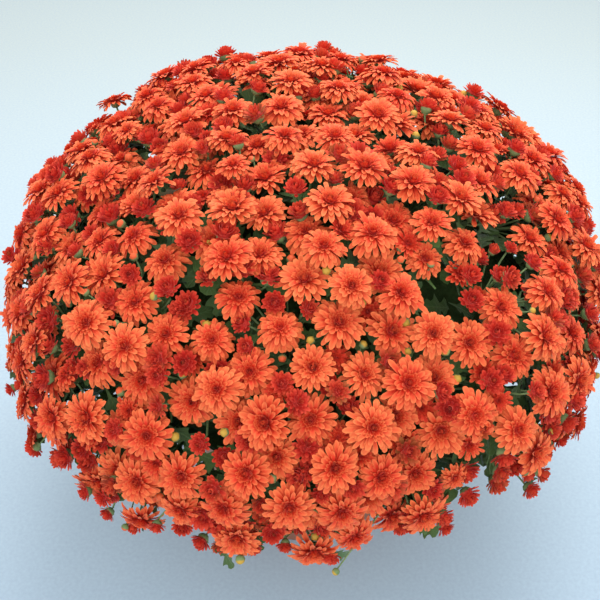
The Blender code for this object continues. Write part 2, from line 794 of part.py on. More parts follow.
def swap_faces(spray, core, near_trees, left, draw):
    """Gives stalks of a spray other faces of its fork, at random, and keeps what doesn't add faults.
    Returns how many are left."""
    for _ in range(UNTANGLE_TRIES):
        before = list(spray.chosen)
        a = draw.randint(len(before))
        face = draw.choice([f for f in range(len(spray.fork_faces)) if f != spray.seat])
        if face in spray.chosen:
            spray.chosen[spray.chosen.index(face)] = spray.chosen[a]
        spray.chosen[a] = int(face)
        now = faults(spray, core, near_trees)
        if now > left:
            spray.chosen = before
        else:
            left = now
        if not left:
            break
    return left


def untangle(sprays, core):
    """Swaps the stalks of each spray until none cross, and drops a flower where that fails."""
    draw = np.random.RandomState(SEED + 2)
    trees = [tree_of(*spray.mesh(core)) for spray in sprays]
    for n, spray in enumerate(sprays):
        near_trees = [t for t, other in zip(trees, sprays) if other is not spray and near(other, spray)]
        left = faults(spray, core, near_trees)
        while left:
            left = swap_faces(spray, core, near_trees, left, draw)
            if left:
                crossed = crossing_faces(*spray.mesh(core))
                spray.drop(spray.flower_of(crossed[0]) if crossed else len(spray.flowers) - 1)
                left = faults(spray, core, near_trees)
        trees[n] = tree_of(*spray.mesh(core))


def leaf_mesh(foot, along, up, length):
    """A lobed blade on its stalk: an outline on both sides of the midrib, arched, thickest at its middle.
    It runs from foot along a direction, with its upper face towards up."""
    along = along.normalized()
    side = along.cross(up).normalized()
    up = side.cross(along)

    def place(x, y, z=0.0):
        arch = -LEAF_ARCH * x * x
        return foot + along * (x * length) + side * (y * length) + up * (arch * length + z)

    left = [place(x, y) for x, y in LEAF_OUTLINE]
    right = [place(x, -y) for x, y in reversed(LEAF_OUTLINE)]
    outline = left + [place(1.0, 0.0)] + right
    count = len(outline)
    points = outline + [
        place(LEAF_MIDDLE, 0.0, LEAF_CROWN + LEAF_THICKNESS / 2),
        place(LEAF_MIDDLE, 0.0, LEAF_CROWN - LEAF_THICKNESS / 2),
    ]
    faces = []
    for k in range(count):
        after = (k + 1) % count
        faces.append((after, k, count))
        faces.append((k, after, count + 1))
    return points, faces


def skirt_leaf(k, draw):
    """Where a leaf of the skirt, below the flowers, grows and which way it points."""
    phi = 2 * math.pi * (k + SKIRT_SCATTER * draw.rand()) / SKIRT_LEAVES
    return SKIRT_ANGLES[k % 2], phi, Vector((math.cos(phi), math.sin(phi), -SKIRT_DIPS[k % 2]))


def collar_leaf(k, draw):
    """Where a leaf of the collar, above the pot's rim, grows and which way it points."""
    phi = 2 * math.pi * (k + 0.5 + COLLAR_SCATTER * draw.rand()) / COLLAR_LEAVES
    return COLLAR_ANGLE, phi, Vector((math.cos(phi), math.sin(phi), -COLLAR_DIP))


def gap_leaf(k, _):
    """Where a leaf between the sprays grows. It stands out of the core."""
    theta, phi = spiral_on_dome(GAP_TRIES)
    place = k * GAP_STRIDE % GAP_TRIES
    theta, phi = float(theta[place]), float(phi[place])
    return theta, phi, Vector(core_points(theta, phi)) - Vector((0, 0, SPRAY_ROOT_Z))


LEAF_RULES = (
    (skirt_leaf, SKIRT_LEAVES, SKIRT_LEAVES),
    (collar_leaf, COLLAR_LEAVES, COLLAR_LEAVES),
    (gap_leaf, GAP_TRIES, GAP_LEAVES),
)


def leaf_foot(theta, phi, along, core_tree):
    """The point where a leaf starts, a little under the core's surface."""
    inside = Vector((0, 0, DOME_Z - CORE_DROP / 2))
    surface, _, _, _ = core_tree.ray_cast(inside, Vector(core_points(theta, phi)) - inside)
    return surface - along.normalized() * LEAF_SUNK


def clear_leaf(foot, along, twist, length, trees):
    """A leaf and its search tree, turned about its midrib until it meets nothing, or None."""
    for turn in LEAF_TURNS:
        up = Matrix.Rotation(turn + twist, 3, along) @ axes_across(along)[1]
        points, faces = leaf_mesh(foot, along, up if up.z > 0 else -up, length)
        tree = tree_of(points, faces)
        if not any(tree.overlap(other) for other in trees):
            return points, faces, tree
    return None


def place_leaves(core_tree, sprays_tree):
    """Every leaf's points and faces, by LEAF_RULES: a rule, how many it tries, and how many it wants."""
    draw = np.random.RandomState(SEED + 1)
    leaves, trees = [], [sprays_tree]
    for rule, tries, most in LEAF_RULES:
        wanted = len(leaves) + most
        for k in range(tries):
            theta, phi, along = rule(k, draw)
            length = between(LEAF_LENGTH, draw.rand())
            twist = draw.rand() * math.pi if rule is gap_leaf else 0.0
            made = clear_leaf(leaf_foot(theta, phi, along, core_tree), along, twist, length, trees)
            if made:
                leaves.append(made[:2])
                trees.append(made[2])
            if len(leaves) == wanted:
                break
    return leaves


def build_bush(core, sprays_tree, plant):
    """The green of the plant as one body: the core, the main stems and every leaf, joined."""
    bush = add_object("leafy_stems", *core, "leaf")
    pieces = new_collection("bush_pieces")
    radii = [STEM_FOOT_RADIUS, STEM_FOOT_RADIUS, STEM_HEAD_RADIUS]
    for k in range(MAIN_STEMS):
        add_object("stem", *tube(main_stem_line(k), radii, STEM_SIDES), "leaf", pieces)
    for points, faces in place_leaves(tree_of(*core), sprays_tree):
        add_object("leaf", points, faces, "leaf", pieces)
    combine(bush, "UNION", pieces)
    stand_at(bush, plant.location, plant)


def build_sprays(core, plant):
    """One object for each spray, with its origin in its fork. Returns a search tree over all of them."""
    sprays = make_sprays()
    clear_neighbours(sprays)
    untangle(sprays, core)
    all_points, all_faces = [], []
    for number, spray in enumerate(sprays, 1):
        points, faces = spray.mesh(core)
        stand_at(add_object(f"spray_{number:02d}", points, faces, "petal"), spray.fork, plant)
        all_faces += [tuple(i + len(all_points) for i in face) for face in faces]
        all_points += points
    return tree_of(all_points, all_faces)


def main():
    for old in list(bpy.data.objects):
        bpy.data.objects.remove(old)
    build_pot()
    build_soil()
    plant = bpy.data.objects.new("plant", None)
    plant.location = (0, 0, SOIL_TOP)
    bpy.context.scene.collection.objects.link(plant)
    core = core_mesh()
    sprays_tree = build_sprays(tree_of(*core), plant)
    build_bush(core, sprays_tree, plant)


main()
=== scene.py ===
"""The looks of a garden chrysanthemum in its pot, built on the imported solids."""

import math

import bmesh
import bpy
import numpy as np
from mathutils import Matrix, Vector


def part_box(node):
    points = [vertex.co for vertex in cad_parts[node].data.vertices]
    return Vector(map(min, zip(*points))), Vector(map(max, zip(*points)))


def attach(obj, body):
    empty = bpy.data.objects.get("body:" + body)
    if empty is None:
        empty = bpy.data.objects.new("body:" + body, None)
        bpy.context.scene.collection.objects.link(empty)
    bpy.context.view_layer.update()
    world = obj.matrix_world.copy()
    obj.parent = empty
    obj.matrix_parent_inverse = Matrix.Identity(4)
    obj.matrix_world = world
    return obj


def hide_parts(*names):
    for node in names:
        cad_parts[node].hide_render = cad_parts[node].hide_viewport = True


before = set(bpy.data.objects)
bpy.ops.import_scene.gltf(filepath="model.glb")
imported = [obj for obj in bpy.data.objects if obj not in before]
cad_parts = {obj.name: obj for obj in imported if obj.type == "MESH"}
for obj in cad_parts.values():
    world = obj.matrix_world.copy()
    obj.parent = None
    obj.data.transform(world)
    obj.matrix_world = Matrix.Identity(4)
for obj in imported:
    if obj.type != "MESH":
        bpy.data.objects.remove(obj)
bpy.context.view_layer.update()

# the pot
# A terracotta-brown plastic pot, moulded in one: a thin tapered wall with a band at its rim and a flat
# base with five round drain holes. It stands free on its base, under the flowers.

POT_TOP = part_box("pot")[1].z
RIM_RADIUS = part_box("pot")[1].x
WALL_TOP_RADIUS = 0.130
BASE_RADIUS = 0.098
BAND_HEIGHT = 0.026
WALL = 0.0026
POT_TURNS = 120
DRAIN_HOLES = 5
HOLE_CIRCLE = 0.074
HOLE_RADIUS = 0.007
BASE_STEPS = 10
# The base's reach from the pot's middle, underneath and inside.
FOOT_REACH = BASE_RADIUS - 0.004
FLOOR_REACH = BASE_RADIUS - WALL - 0.002
# Points closer than this are one point.
SAME_PLACE = 2e-7


class Tone:
    """A socket of a material. Sums on it add Math nodes, and new() adds any other node."""

    def __init__(self, socket):
        self.socket = socket

    def new(self, kind, settings=None, inputs=None, output=0):
        """Adds a node of a type, sets it, then fills its sockets with values or links."""
        tree = self.socket.id_data
        node = tree.nodes.new("ShaderNode" + kind)
        for name, value in (settings or {}).items():
            setattr(node, name, value)
        for name, value in (inputs or {}).items():
            if isinstance(value, Tone):
                tree.links.new(value.socket, node.inputs[name])
            else:
                node.inputs[name].default_value = value
        return Tone(node.outputs[output])

    def sum(self, operation, first, second, clamp=False):
        """One Math operation on two numbers or Tones, held between 0 and 1 if clamped."""
        settings = {"operation": operation, "use_clamp": clamp}
        return self.new("Math", settings, {0: first, 1: second})

    def __add__(self, other):
        return self.sum("ADD", self, other)

    def __radd__(self, other):
        return self.sum("ADD", other, self)

    def __sub__(self, other):
        return self.sum("SUBTRACT", self, other)

    def __rsub__(self, other):
        return self.sum("SUBTRACT", other, self)

    def __mul__(self, other):
        return self.sum("MULTIPLY", self, other)

    def __rmul__(self, other):
        return self.sum("MULTIPLY", other, self)

    def __pow__(self, other):
        return self.sum("POWER", self, other)

    def within(self):
        """The value held between 0 and 1."""
        return self.sum("ADD", self, 0.0, clamp=True)

    def blend(self, first, second):
        """A colour between two, by this share of the second."""
        colours = [c if isinstance(c, Tone) else (*c, 1.0) for c in (first, second)]
        sockets = {0: self, 6: colours[0], 7: colours[1]}
        return self.new("Mix", {"data_type": "RGBA"}, sockets, output=2)


def finish_for(name, constants):
    """A new material with these constants on its shader, a Tone of Object coordinates to build on, and a
    function that feeds a Tone to one of the shader's sockets."""
    material = bpy.data.materials.new(name)
    material.use_nodes = True
    tree = material.node_tree
    shader = tree.nodes["Principled BSDF"]
    for socket, value in constants.items():
        shader.inputs[socket].default_value = value
    base = Tone(tree.nodes.new("ShaderNodeTexCoord").outputs["Object"])

    def feed(socket, tone):
        tree.links.new(tone.socket, shader.inputs[socket])

    return material, base, feed


def piece_of(name, points, faces, material, slot, **notes):
    """A new piece from arrays of points and faces, with numbers for each point that its material reads.
    Points in one place become one, which closes poles and seams. It rides on the plant's one body."""
    mesh = bpy.data.meshes.new(name)
    mesh.from_pydata(np.asarray(points).reshape(-1, 3).tolist(), [], [list(face) for face in faces])
    for kind, numbers in notes.items():
        kept = mesh.attributes.new(kind, "FLOAT", "POINT")
        kept.data.foreach_set("value", np.ascontiguousarray(numbers, np.float32).reshape(-1))
    work = bmesh.new()
    work.from_mesh(mesh)
    bmesh.ops.remove_doubles(work, verts=work.verts, dist=SAME_PLACE)
    work.to_mesh(mesh)
    work.free()
    mesh.shade_smooth()
    mesh.materials.append(material)
    piece = bpy.data.objects.new(name, mesh)
    bpy.context.scene.collection.objects.link(piece)
    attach(piece, "root")
    return piece


def grid_faces(rows, columns, closed):
    """Quads between neighbours of a grid of points, wrapped round its columns if closed."""
    row = np.arange(rows - 1)[:, None]
    column = np.arange(columns if closed else columns - 1)[None, :]
    after = (column + 1) % columns
    here = row * columns
    quads = [here + column, here + after, here + columns + after, here + columns + column]
    return np.stack(np.broadcast_arrays(*quads), axis=-1).reshape(-1, 4)


def turned(outline, sides):
    """A profile of (radius, height) carried round the upright axis: x = r cos a, y = r sin a, z = h."""
    angle = np.linspace(0, 2 * np.pi, sides, endpoint=False)
    radius, height = np.array(outline).T[:, :, None]
    x, y = radius * np.cos(angle), radius * np.sin(angle)
    return np.stack([x, y, height + 0 * angle], axis=-1).reshape(-1, 3)


band_low = POT_TOP - BAND_HEIGHT
pot_outline = [
    (FOOT_REACH, 0.0),
    (BASE_RADIUS - 0.0012, 0.0012),
    (BASE_RADIUS + 0.0006, 0.004),
    (WALL_TOP_RADIUS - 0.0004, band_low - 0.0008),
    (WALL_TOP_RADIUS + 0.0012, band_low + 0.0006),
    (RIM_RADIUS - 0.0010, band_low + 0.0030),
    (RIM_RADIUS, band_low + 0.0050),
    (RIM_RADIUS, POT_TOP - 0.0016),
    (RIM_RADIUS - 0.0005, POT_TOP - 0.0004),
    (RIM_RADIUS - WALL / 2, POT_TOP),
    (RIM_RADIUS - WALL + 0.0004, POT_TOP - 0.0004),
    (RIM_RADIUS - WALL, POT_TOP - 0.0014),
    (RIM_RADIUS - WALL, band_low + 0.0044),
    (WALL_TOP_RADIUS - WALL, band_low),
    (BASE_RADIUS - WALL, WALL + 0.002),
    (FLOOR_REACH, WALL),
]


def slice_outline(reach):
    """The outline of a slice of a disc, from the middle out along one edge, round the arc and back:
    (r cos a, r sin a), where r grows at a fixed angle, stays while the angle turns, and falls again."""
    half = np.pi / DRAIN_HOLES
    out = np.linspace(0, reach, BASE_STEPS, endpoint=False)
    arc = np.linspace(-half, half, POT_TURNS // DRAIN_HOLES + 1)
    angle = np.concatenate([np.full(BASE_STEPS, -half), arc, np.full(BASE_STEPS - 1, half)])
    radius = np.concatenate([out, np.full(len(arc), reach), out[:0:-1]])
    return np.stack([radius * np.cos(angle), radius * np.sin(angle)], axis=-1)


def base_slice():
    """One slice of the base with its hole: rings run from the outline underneath in to the hole, up its
    edge and out again on top. The hole's points lie at the same angles as the outline's."""
    low, high = slice_outline(FOOT_REACH), slice_outline(FLOOR_REACH)
    middle = np.array([HOLE_CIRCLE, 0.0])
    hole = middle + HOLE_RADIUS * (high - middle) / np.linalg.norm(high - middle, axis=-1, keepdims=True)
    under = [(low, 0.0), ((low + hole) / 2, 0.0), (hole, 0.0)]
    above = [(hole, WALL), ((high + hole) / 2, WALL), (high, WALL)]
    return np.stack([np.column_stack([flat, np.full(len(flat), z)]) for flat, z in under + above])


# The other slices are the first, turned about the upright axis.
one = base_slice()
rings, around, _ = one.shape
turn = (np.arange(DRAIN_HOLES) * 2 * np.pi / DRAIN_HOLES)[:, None, None]
x = one[..., 0] * np.cos(turn) - one[..., 1] * np.sin(turn)
y = one[..., 0] * np.sin(turn) + one[..., 1] * np.cos(turn)
slices = np.stack([x, y, one[..., 2] + 0 * turn], axis=-1)
slice_faces = grid_faces(rings, around, closed=True)[:, ::-1]
wall_points = turned(pot_outline, POT_TURNS)
wall_faces = grid_faces(len(pot_outline), POT_TURNS, closed=True)
starts = len(wall_points) + np.arange(DRAIN_HOLES)[:, None, None] * rings * around
pot_points = np.vstack([wall_points, slices.reshape(-1, 3)])
pot_faces = np.vstack([wall_faces, (slice_faces[None] + starts).reshape(-1, 4)])

terracotta, place, feed = finish_for("moulded_terracotta_plastic", {"Specular IOR Level": 0.4})
grain = place.new("TexNoise", {}, {"Vector": place, "Scale": 900.0, "Detail": 3.0})
cloud = place.new("TexNoise", {}, {"Vector": place, "Scale": 14.0, "Detail": 4.0})
scuff = place.new("TexNoise", {}, {"Vector": place, "Scale": 120.0, "Detail": 6.0, "Roughness": 0.7})
worn = ((scuff - 0.58) * 6.0).within() * 0.35
feed("Base Color", (cloud * 0.6 + worn).within().blend((0.30, 0.105, 0.055), (0.46, 0.20, 0.125)))
feed("Roughness", cloud * 0.12 + worn * 0.2 + 0.46)
feed("Normal", place.new("Bump", {}, {"Strength": 0.25, "Distance": 0.0006, "Height": grain + worn}))

pot = piece_of("pot_finish", pot_points, pot_faces, terracotta, "pot")
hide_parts("pot")

# the soil
# Dark peat compost with fine bark in it, filled to a little below the pot's rim and mounded in the
# middle. Its top has small waves, and loose crumbs of bark and peat lie pressed into it.

SOIL_TOP = 0.163
SOIL_MOUND = 0.008
SOIL_EDGE_DROP = 0.004
SOIL_REACH = 0.1245
SOIL_RINGS = 40
SOIL_TURNS = 96
CRUMBS = 700
CRUMB_REACH = 0.97 * SOIL_REACH
CRUMB_SIZES = (0.0006, 0.0024)


def soil_height(x, y):
    """A mound that falls with the square of the distance from the middle, plus small waves."""
    share = np.hypot(x, y) / SOIL_REACH
    mound = SOIL_TOP - SOIL_EDGE_DROP + SOIL_MOUND * (1 - share**2)
    return mound + 0.0009 * np.sin(190 * x + 2) * np.cos(170 * y) + 0.0006 * np.sin(410 * x + 300 * y)


ring = np.linspace(0, 1, SOIL_RINGS)[:, None] * SOIL_REACH
angle = np.linspace(0, 2 * np.pi, SOIL_TURNS, endpoint=False)[None, :]
x, y = ring * np.cos(angle), ring * np.sin(angle)
soil_points = np.stack([x, y, soil_height(x, y)], axis=-1).reshape(-1, 3)
soil_faces = grid_faces(SOIL_RINGS, SOIL_TURNS, closed=True)[:, ::-1]

# Each crumb is eight triangles between six points, one on either side along three directions.
chance = np.random.RandomState(7)
angle = chance.uniform(0, 2 * np.pi, CRUMBS)
reach = CRUMB_REACH * np.sqrt(chance.rand(CRUMBS))
x, y = reach * np.cos(angle), reach * np.sin(angle)
spot = np.stack([x, y, soil_height(x, y)], axis=-1)
ways = np.linalg.qr(chance.normal(0, 1, (CRUMBS, 3, 3)))[0]
ways = ways * chance.uniform(*CRUMB_SIZES, (CRUMBS, 3, 1))
ways[np.linalg.det(ways) < 0, 0] *= -1
crumb_points = spot[:, None] + np.concatenate([ways, -ways], axis=1)
crumb = np.array([[0, 1, 2], [1, 3, 2], [3, 4, 2], [4, 0, 2], [1, 0, 5], [3, 1, 5], [4, 3, 5], [0, 4, 5]])
crumb_faces = (crumb[None] + 6 * np.arange(CRUMBS)[:, None, None] + len(soil_points)).reshape(-1, 3)
soil_points = np.vstack([soil_points, crumb_points.reshape(-1, 3)])
soil_faces = soil_faces.tolist() + crumb_faces.tolist()

peat, place, feed = finish_for("peat_compost", {"Specular IOR Level": 0.2})
damp = place.new("TexNoise", {}, {"Vector": place, "Scale": 60.0, "Detail": 5.0})
bits = place.new("TexVoronoi", {}, {"Vector": place, "Scale": 520.0})
feed("Base Color", (damp * 0.6 + bits * 0.5).within().blend((0.011, 0.007, 0.005), (0.070, 0.042, 0.026)))
feed("Roughness", 0.98 - damp * 0.2)
feed("Normal", place.new("Bump", {}, {"Strength": 0.9, "Distance": 0.002, "Height": bits + damp}))
soil = piece_of("soil_surface", soil_points, soil_faces, peat, "soil")
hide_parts("soil")

# the places of the flowers
# The plant's sprays fork into flower stalks, and each stalk ends in one flower. The solids hold every
# flower with few petals. Their places, directions and sizes are read here, so that each fine flower
# stands where its solid does.

# Shares of a flower's radius: how far an open flower's crown stands over its petal tips, how far the
# tips hang under its middle, how far a half-open flower's crown stands over its middle, how far from
# any flower a point belongs to the fork, and how much a true flower's tips may differ in distance.
TIP_DROP = 0.16
CROWN_OVER_TIPS = 0.24 + TIP_DROP
CUP_CROWN = 0.85
FORK_REACH = 1.35
MOST_UNLIKE = 0.03
# How many edges meet at a flower's crown, and how many of them end at a tip.
OPEN_EDGES, OPEN_TIPS = 12, 6
YOUNG_EDGES, YOUNG_TIPS = 4, 4
# Keeps the length that a direction is divided by above nothing.
SMALLEST = 1e-9


def joined_mesh(node):
    """A solid's points, each once, and its triangles."""
    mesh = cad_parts[node].data
    points = np.zeros(len(mesh.vertices) * 3)
    mesh.vertices.foreach_get("co", points)
    corners = np.zeros(len(mesh.loops), int)
    mesh.loops.foreach_get("vertex_index", corners)
    points = points.reshape(-1, 3)
    _, first, back = np.unique(np.round(points, 6), axis=0, return_index=True, return_inverse=True)
    return points[first], back.reshape(-1)[corners].reshape(-1, 3)


def crowns(points, triangles, sides):
    """Every point that exactly so many edges meet, and the points at those edges' far ends."""
    pairs = np.vstack([triangles[:, [0, 1]], triangles[:, [1, 2]], triangles[:, [2, 0]]])
    pairs = np.unique(np.sort(pairs, axis=1), axis=0)
    both = np.vstack([pairs, pairs[:, ::-1]])
    both = both[np.argsort(both[:, 0], kind="stable")]
    count = np.bincount(both[:, 0], minlength=len(points))
    start = np.cumsum(count) - count
    tops = np.flatnonzero(count == sides)
    around = both[start[tops][:, None] + np.arange(sides), 1]
    return points[tops], points[around]


def flower_places(points, triangles, sides, kept, crown, drop):
    """Middle, axis, radius and one tip of each flower of a kind: its crown is a point that so many edges
    meet, and the farthest `kept` of their ends are its tips. The crown stands over the tips' middle by
    a known share of the radius, which gives the radius, and the tips lie at that distance."""
    tops, around = crowns(points, triangles, sides)
    reach = np.linalg.norm(around - tops[:, None], axis=-1)
    far = np.argsort(reach, axis=1)[:, sides - kept :]
    tips = np.take_along_axis(around, far[:, :, None], axis=1)
    middle = tips.mean(axis=1)
    rise = np.linalg.norm(tops - middle, axis=-1) + SMALLEST
    axis = (tops - middle) / rise[:, None]
    radius = rise / crown
    spread = np.linalg.norm(tips - middle[:, None], axis=-1)
    true = np.abs(spread / radius[:, None] - 1).max(axis=1) < MOST_UNLIKE
    middle = middle + axis * (radius * drop)[:, None]
    return middle[true], axis[true], radius[true], tips[true, 0]


def unit(vectors):
    """Vectors of length 1 along given ones."""
    return vectors / np.linalg.norm(vectors, axis=-1, keepdims=True)


def across(axis, towards):
    """Two unit directions square to an axis and to each other, the first on the side of another direction."""
    side = unit(towards - axis * (towards * axis).sum(axis=-1, keepdims=True))
    return side, np.cross(axis, side)


spray_nodes = sorted(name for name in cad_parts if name.startswith("spray_"))
blooms, cups, forks = [], [], []
for number, node in enumerate(spray_nodes):
    points, triangles = joined_mesh(node)
    found = [
        flower_places(points, triangles, OPEN_EDGES, OPEN_TIPS, CROWN_OVER_TIPS, TIP_DROP),
        flower_places(points, triangles, YOUNG_EDGES, YOUNG_TIPS, CUP_CROWN, 0.0),
    ]
    middles = np.vstack([found[0][0], found[1][0]])
    radii = np.concatenate([found[0][2], found[1][2]])
    away = np.linalg.norm(points[:, None] - middles[None], axis=-1) > radii * FORK_REACH
    forks.append(np.median(points[away.all(axis=1)], axis=0))
    for kept, (middle, axis, radius, tip) in zip((blooms, cups), found):
        side, other = across(axis, tip - middle)
        kept.append([middle, axis, side, other, radius, np.full(len(radius), number)])
forks = np.array(forks)
blooms = [np.concatenate(column) for column in zip(*blooms)]
cups = [np.concatenate(column) for column in zip(*cups)]

# the younger flowers in the gaps
# Where the big flowers leave a gap, smaller ones fill it a little lower down: small open flowers,
# half-open red ones and round buds. More of them hang out over the dome's lower edge.

NEIGHBOURS = 6
GAP_SPACING = 0.0135
# The widest quarter of the gaps gets other shares of small blooms, young flowers and buds. Each pair
# is the part of the draw between 0 and 1 that gives such a flower.
WIDE_SHARE = 0.25
WIDE_BLOOM, WIDE_YOUNG, WIDE_BUD = (0.0, 0.35), (0.35, 0.92), (0.92, 1.0)
CLOSE_YOUNG, CLOSE_BUD = (0.0, 0.38), (0.38, 0.62)
LOW_EDGE = 0.274
RIM_BUD_SHARE = 0.22
bush_middle = np.array([0.0, 0.0, 0.20])


def gaps_between(places):
    """Middles of the triangles between each flower and its next neighbours round it, with the mean axis
    and the spray. The widest gaps come first, and each is at least GAP_SPACING from those before it."""
    middle, axis, side, other, radius, spray = places
    apart = np.linalg.norm(middle[:, None] - middle[None], axis=-1)
    near = np.argsort(apart, axis=1)[:, 1 : NEIGHBOURS + 1]
    way = middle[near] - middle[:, None]
    turn = np.arctan2((way * other[:, None]).sum(-1), (way * side[:, None]).sum(-1))
    near = np.take_along_axis(near, np.argsort(turn, axis=1), axis=1)
    after = np.roll(near, -1, axis=1)
    spot = ((middle[:, None] + middle[near] + middle[after]) / 3).reshape(-1, 3)
    lean = unit(axis[:, None] + axis[near] + axis[after]).reshape(-1, 3)
    clear = (np.linalg.norm(spot[:, None] - middle[None], axis=-1) - radius).min(axis=1)
    taken = []
    for one in np.argsort(-clear):
        if not taken or np.linalg.norm(spot[taken] - spot[one], axis=-1).min() > GAP_SPACING:
            taken.append(one)
    return spot[taken], lean[taken], np.repeat(spray, NEIGHBOURS)[taken]


def scattered(ways, spread):
    """Unit directions, each a little off its own."""
    return unit(ways + chance.normal(0, spread, ways.shape))


def placed(middle, axis, radius, spray):
    """Flowers at these places, each turned at random about its axis."""
    side, other = across(axis, chance.normal(0, 1, axis.shape))
    return [middle, axis, side, other, radius, spray]


def joined(*several):
    """Several lists of places as one."""
    return [np.concatenate(column) for column in zip(*several)]


gap_spot, gap_way, gap_spray = gaps_between(blooms)
lot = chance.rand(len(gap_spot))
wide = np.arange(len(gap_spot)) < WIDE_SHARE * len(gap_spot)


def drawn(part):
    """Whether each gap's draw lies in a part of the range from 0 to 1."""
    return (lot >= part[0]) & (lot < part[1])


gets_bloom = wide & drawn(WIDE_BLOOM)
gets_young = np.where(wide, drawn(WIDE_YOUNG), drawn(CLOSE_YOUNG))
gets_bud = np.where(wide, drawn(WIDE_BUD), drawn(CLOSE_BUD))


def gap_flowers(which, low, high, depth, spread):
    """Flowers of a size between two bounds in some of the gaps, so far under the other flowers."""
    count = which.sum()
    axis = scattered(gap_way[which], spread)
    radius = chance.uniform(low, high, count)
    middle = gap_spot[which] - gap_way[which] * chance.uniform(*depth, count)[:, None]
    return placed(middle, axis, radius, gap_spray[which])


small_blooms = gap_flowers(gets_bloom, 0.0125, 0.0155, (0.004, 0.012), 0.16)
gap_cups = gap_flowers(gets_young, 0.0070, 0.0102, (-0.007, 0.009), 0.25)
gap_buds = gap_flowers(gets_bud, 0.0028, 0.0042, (-0.004, 0.012), 0.35)

# Two young flowers or buds hang near each bloom of the lower edge, a little outward and beneath it.
low = np.flatnonzero(blooms[0][:, 2] < LOW_EDGE)
low = np.concatenate([low, low])
outward = unit(blooms[0][low] * [1, 1, 0])
hang = blooms[0][low] + outward * chance.uniform(-0.010, 0.013, len(low))[:, None]
hang = hang + np.cross(outward, [0, 0, 1]) * chance.uniform(-0.024, 0.024, len(low))[:, None]
hang[:, 2] -= chance.uniform(0.006, 0.032, len(low))
droop = scattered(outward - [0, 0, 0.3], 0.25)
budding = chance.rand(len(low)) < RIM_BUD_SHARE
bud_radius = chance.uniform(0.0030, 0.0042, len(low))
cup_radius = chance.uniform(0.0065, 0.0088, len(low))
rim_radius = np.where(budding, bud_radius, cup_radius)
rim = placed(hang, droop, rim_radius, blooms[5][low])
rim_cups = [column[~budding] for column in rim]
rim_buds = [column[budding] for column in rim]

# the open blooms
# A double flower: three rows of narrow orange ray petals lie flat with round, paler tips, and five
# rows of shorter, redder ones stand up in a dense button. All grow from one green cup.

# Each row: petals, stations along a petal, root radius, root height, length, slope at the root and
# at the tip (degrees), half width, and how far inward the row is. Lengths are shares of the radius.
BLOOM_ROWS = [
    (20, 5, 0.14, -0.12, 0.88, 14, -30, 0.109, 0.00),
    (19, 4, 0.13, -0.08, 0.79, 26, -22, 0.104, 0.08),
    (15, 4, 0.13, -0.04, 0.61, 40, -8, 0.098, 0.25),
    (15, 3, 0.15, -0.03, 0.38, 42, 26, 0.084, 0.55),
    (14, 3, 0.13, -0.02, 0.31, 54, 48, 0.078, 0.75),
    (11, 3, 0.10, 0.00, 0.27, 68, 68, 0.074, 0.85),
    (7, 3, 0.07, 0.00, 0.27, 80, 92, 0.074, 0.95),
    (4, 3, 0.02, 0.02, 0.25, 86, 104, 0.066, 1.00),
]
SMALL_BLOOM_ROWS = [
    (17, 5, 0.14, -0.14, 0.86, 28, -4, 0.120, 0.10),
    (15, 4, 0.12, -0.06, 0.68, 42, 10, 0.108, 0.35),
    (14, 3, 0.11, 0.00, 0.46, 58, 36, 0.088, 0.65),
    (12, 3, 0.07, 0.04, 0.34, 72, 74, 0.074, 0.90),
    (8, 3, 0.03, 0.06, 0.28, 80, 100, 0.064, 1.00),
]
# Stations along a petal with its half width there and how far its tip's middle is pushed out, as
# shares of the length and the widest. Short petals use fewer of the stations.
PETAL_SHARES = np.array([0.0, 0.35, 0.68, 0.90, 1.0])
FEWER_SHARES = {5: [0, 1, 2, 3, 4], 4: [0, 2, 3, 4], 3: [0, 2, 4]}
PETAL_WIDTHS = np.array([0.34, 0.72, 1.00, 0.96, 0.58])
TIP_PUSH = np.array([0.0, 0.0, 0.0, 0.015, 0.05])
EDGE_LIFT = 0.42
ACROSS = np.array([-1.0, 0.0, 1.0])
PETAL_NOTES = ("along", "over", "inward", "shade")
# How much petals differ: in turn (share of their spacing), slope (degrees), how far the flower has
# opened (times the slope's), length, half width, lift of the edges, and twist.
TURN_PLAY, SLOPE_PLAY, OPENING_PLAY = 0.16, 5, 1.3
LENGTH_PLAY, WIDTH_PLAY, LIFT_PLAY, TWIST_PLAY = 0.07, 0.09, 0.4, 0.10
AGE_IN_SHADE = 0.7


def petal_sheets(stations, length, root_slope, tip_slope, half_width, lift):
    """Petals in their own plane: (outward, across, up) for each petal, station and column. The middle
    line starts at the root and its slope turns evenly from root to tip. The width follows PETAL_WIDTHS,
    the edges rise by the lift times the half width, and the tip's middle is pushed out to round it."""
    share = PETAL_SHARES[FEWER_SHARES[stations]]
    slope = root_slope[:, None] + (tip_slope - root_slope)[:, None] * share
    step = np.diff(share) * length[:, None]
    mean = (slope[:, 1:] + slope[:, :-1]) / 2
    start = np.zeros((len(length), 1))
    out = np.hstack([start, np.cumsum(step * np.cos(mean), axis=1)])[..., None]
    up = np.hstack([start, np.cumsum(step * np.sin(mean), axis=1)])[..., None]
    wide = (half_width[:, None] * np.interp(share, PETAL_SHARES, PETAL_WIDTHS))[..., None]
    raised = lift[:, None, None] * wide * ACROSS**2
    push = (length[:, None] * np.interp(share, PETAL_SHARES, TIP_PUSH))[..., None] * (1 - ACROSS**2)
    cos, sin = np.cos(slope)[..., None], np.sin(slope)[..., None]
    parts = [out - raised * sin + push * cos, wide * ACROSS, up + raised * cos + push * sin]
    return np.stack(parts, axis=-1), share


